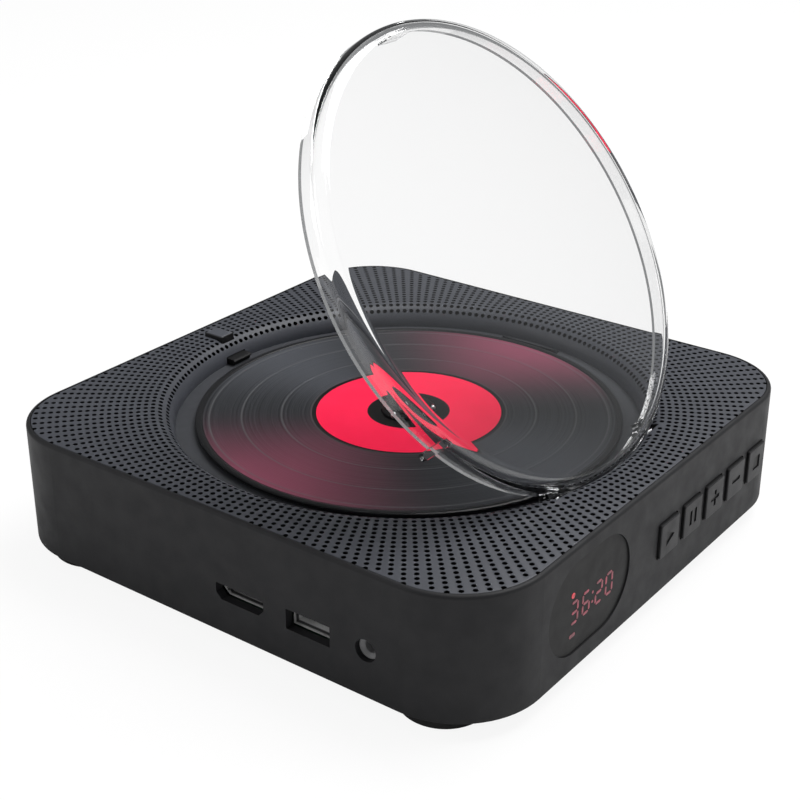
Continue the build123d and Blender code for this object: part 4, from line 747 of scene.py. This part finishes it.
# ------------------------------------------------------------ disc
def disc_piece():
    """The disc with a raised bead round its edge and real grooves between its label and the bead."""
    profile = [(DISC_HOLE, DISC_LOW), (DISC_R - 0.3, DISC_LOW), (DISC_R, DISC_LOW + 0.3)]
    for step in range(7):
        bend = math.pi * step / 6
        profile.append((DISC_R - BEAD_R + BEAD_R * math.cos(bend), DISC_TOP - BEAD_H + BEAD_H * math.sin(bend)))
    face = DISC_TOP - BEAD_H
    radius, pitch, depth = 57.0, 0.62, 0.025
    while radius > LABEL_R + 1.6:
        if min(abs(radius - ring) for ring in PLAIN_RINGS) > 0.7:
            profile += [(radius + pitch * 0.3, face), (radius, face - depth), (radius - pitch * 0.3, face)]
        radius -= pitch
    profile += [(LABEL_R + 0.75, face), (LABEL_R + 0.45, face - 0.08), (LABEL_R + 0.05, face - 0.08)]
    profile += [(LABEL_R - 0.05, face), (DISC_HOLE, face)]
    piece = add_piece("disc_print_and_sheen", revolved(profile, 360), "disc", materials["disc_plastic"], 40.0)
    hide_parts("disc")


# ------------------------------------------------------------ keys
def icon_outlines(name):
    """Closed outlines in mm about the key's centre; a runs to the right as seen, b runs up."""
    if name == "play":
        return [[(-1.9, -2.3), (2.4, 0.0), (-1.9, 2.3)]]
    if name == "pause":
        return [[(x - 0.65, -2.2), (x + 0.65, -2.2), (x + 0.65, 2.2), (x - 0.65, 2.2)] for x in (-1.3, 1.3)]
    if name == "plus":
        a, b = 0.6, 2.4
        return [[(-a, -b), (a, -b), (a, -a), (b, -a), (b, a), (a, a), (a, b), (-a, b), (-a, a), (-b, a), (-b, -a),
                 (-a, -a)]]
    if name == "minus":
        return [[(-2.4, -0.6), (2.4, -0.6), (2.4, 0.6), (-2.4, 0.6)]]
    return [[(-2.0, -2.0), (2.0, -2.0), (2.0, 2.0), (-2.0, 2.0)]]


def key_piece(name):
    node = frame["nodes"]["key_" + name]
    solid = bmesh.new()
    solid.from_mesh(node.data)
    bmesh.ops.remove_doubles(solid, verts=solid.verts, dist=1e-6)
    tool = bmesh.new()
    y = KEY_YS[name]
    for outline in icon_outlines(name):
        prism(tool, outline, lambda a, b: (KEY_FACE - 0.35, y + a, KEY_Z + b),
              lambda a, b: (KEY_FACE + 0.5, y + a, KEY_Z + b))
    cut = combined(solid, [tool], ["DIFFERENCE"])
    piece = add_piece("keycap_" + name, cut, "key_" + name, materials["key_plastic"], 35.0)
    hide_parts("key_" + name)


# ------------------------------------------------------------ display
SEGMENTS = {"0": "abcdef", "2": "abged", "3": "abgcd", "6": "afgedc"}


def segment_bars(char, width, height):
    """Bars of a seven-segment figure as (centre a, centre b, length, upright) in mm."""
    half_w, half_h = width / 2, height / 2
    places = {
        "a": (0, half_h, width, False), "d": (0, -half_h, width, False), "g": (0, 0, width, False),
        "f": (-half_w, half_h / 2, half_h, True), "b": (half_w, half_h / 2, half_h, True),
        "e": (-half_w, -half_h / 2, half_h, True), "c": (half_w, -half_h / 2, half_h, True),
    }
    return [places[s] for s in SEGMENTS[char]]


def bar_outline(a, b, length, upright, thick):
    """A six-sided bar with pointed ends."""
    reach, flat = length / 2 - 0.25, length / 2 - 0.25 - thick / 2
    shape = [(-reach, 0), (-flat, -thick / 2), (flat, -thick / 2), (reach, 0), (flat, thick / 2), (-flat, thick / 2)]
    if upright:
        shape = [(-q, p) for p, q in shape]
    return [(a + p, b + q) for p, q in shape]


def display_pieces():
    digits = bmesh.new()
    lift = 0.06

    def lit(bm, outline):
        prism(bm, outline, lambda a, b: (WINDOW_FACE - 0.2, a, b), lambda a, b: (WINDOW_FACE + lift, a, b))

    for char, y in zip("3620", (-42.8, -37.4, -31.3, -26.3)):
        for a, b, length, upright in segment_bars(char, 3.0, 5.9):
            lit(digits, bar_outline(y + a, 21.6 + b, length, upright, 0.75))
    for z in (20.3, 23.0):
        lit(digits, [(-34.3 + 0.4 * math.cos(t), z + 0.4 * math.sin(t)) for t in circle_turns(16)])
    add_piece("display_digits", digits, "housing", glowing("dim_red", (0.22, 0.018, 0.04), 1.0), 20.0)
    dot = bmesh.new()
    lit(dot, [(-43.7 + 0.75 * math.cos(t), 26.7 + 0.75 * math.sin(t)) for t in circle_turns(24)])
    add_piece("display_dot", dot, "housing", glowing("bright_red", (0.75, 0.03, 0.05), 1.0), 20.0)
    dash = bmesh.new()
    lit(dash, rounded_rect_at(-43.4, 15.2, 2.6, 1.0, 0.45))
    add_piece("display_dash", dash, "housing", glowing("dull_red", (0.16, 0.02, 0.035), 1.0), 20.0)


def circle_turns(count):
    return [2 * math.pi * i / count for i in range(count)]


def rounded_rect_at(a, b, width, height, corner):
    return [(a + p, b + q) for p, q in rounded_rect(width, height, corner, 5)]


# ------------------------------------------------------------ dressing
for row in frame["record"]["subparts"]:
    node = frame["nodes"][row["node"]]
    chosen = special.get(row["node"], materials[row["material_slot"]])
    node.data.materials.clear()
    node.data.materials.append(chosen)

grille_piece()
lid_piece()
disc_piece()
for key_name in KEY_YS:
    key_piece(key_name)
display_pieces()


# ------------------------------------------------------------ stage, light and camera
def camera_share(tree, rays):
    """1 for the chosen kinds of ray, 0 for the others."""
    path = tree.nodes.new("ShaderNodeLightPath")
    total = path.outputs[rays[0]]
    for ray in rays[1:]:
        both = tree.nodes.new("ShaderNodeMath")
        both.operation = "MAXIMUM"
        tree.links.new(total, both.inputs[0])
        tree.links.new(path.outputs[ray], both.inputs[1])
        total = both.outputs[0]
    return total


def make_world(lighting, mirrored):
    world = bpy.data.worlds.new("studio")
    bpy.context.scene.world = world
    world.use_nodes = True
    tree = world.node_tree
    tree.nodes.clear()
    soft = tree.nodes.new("ShaderNodeBackground")
    soft.inputs["Color"].default_value = (1.0, 1.0, 1.0, 1.0)
    soft.inputs["Strength"].default_value = lighting
    grey = tree.nodes.new("ShaderNodeBackground")
    grey.inputs["Color"].default_value = (0.96, 0.98, 1.0, 1.0)
    grey.inputs["Strength"].default_value = mirrored
    white = tree.nodes.new("ShaderNodeBackground")
    white.inputs["Color"].default_value = (1.0, 1.0, 1.0, 1.0)
    white.inputs["Strength"].default_value = 1.0
    shine = tree.nodes.new("ShaderNodeMixShader")
    tree.links.new(camera_share(tree, ("Is Glossy Ray", "Is Transmission Ray")), shine.inputs[0])
    tree.links.new(soft.outputs[0], shine.inputs[1])
    tree.links.new(grey.outputs[0], shine.inputs[2])
    mixed = tree.nodes.new("ShaderNodeMixShader")
    tree.links.new(camera_share(tree, ("Is Camera Ray",)), mixed.inputs[0])
    tree.links.new(shine.outputs[0], mixed.inputs[1])
    tree.links.new(white.outputs[0], mixed.inputs[2])
    out = tree.nodes.new("ShaderNodeOutputWorld")
    tree.links.new(mixed.outputs[0], out.inputs[0])


def make_floor():
    bm = bmesh.new()
    bmesh.ops.create_grid(bm, x_segments=1, y_segments=1, size=6.0)
    data = bpy.data.meshes.new("floor")
    bm.to_mesh(data)
    bm.free()
    floor = bpy.data.objects.new("floor", data)
    bpy.context.scene.collection.objects.link(floor)
    s = Shader("floor_white")
    s.value("Base Color", (0.9, 0.9, 0.9, 1.0))
    s.value("Roughness", 0.9)
    s.value("Specular IOR Level", 0.1)
    bright = s.node("ShaderNodeEmission", {"Color": (1.0, 1.0, 1.0, 1.0), "Strength": 1.0})
    share = s.math("MULTIPLY", camera_share(s.tree, ("Is Camera Ray", "Is Transmission Ray")), 0.9)
    both = s.node("ShaderNodeMixShader", {0: share, 1: s.base.outputs[0], 2: bright.outputs[0]})
    s.tree.links.new(both.outputs[0], s.tree.nodes["Material Output"].inputs["Surface"])
    data.materials.append(s.material)


def area_light(name, place, target, size, power):
    data = bpy.data.lights.new(name, "AREA")
    data.shape = "RECTANGLE"
    data.size, data.size_y = size
    data.energy = power
    lamp = bpy.data.objects.new(name, data)
    bpy.context.scene.collection.objects.link(lamp)
    lamp.location = place
    lamp.rotation_euler = (Vector(target) - Vector(place)).to_track_quat("-Z", "Y").to_euler()
    return lamp


def make_camera():
    data = bpy.data.cameras.new("camera")
    data.lens = 69.57
    data.sensor_width = 36.0
    data.clip_start, data.clip_end = 0.01, 50.0
    camera = bpy.data.objects.new("camera", data)
    bpy.context.scene.collection.objects.link(camera)
    camera.location = (0.23590, -0.31897, 0.22647)
    aim = Vector((0.000076, -0.003672, 0.040)) - camera.location
    camera.rotation_euler = aim.to_track_quat("-Z", "Y").to_euler()
    bpy.context.scene.camera = camera


make_world(0.43, 0.25)
make_floor()
area_light("overhead", (0.2, 0.4, 0.95), (0.0, 0.0, 0.03), (0.7, 0.7), 13.0)
area_light("front_fill", (-0.8, -0.8, 0.6), (0.0, 0.0, 0.03), (0.5, 0.5), 3.0)
make_camera()
bpy.context.scene.view_settings.view_transform = "Standard"
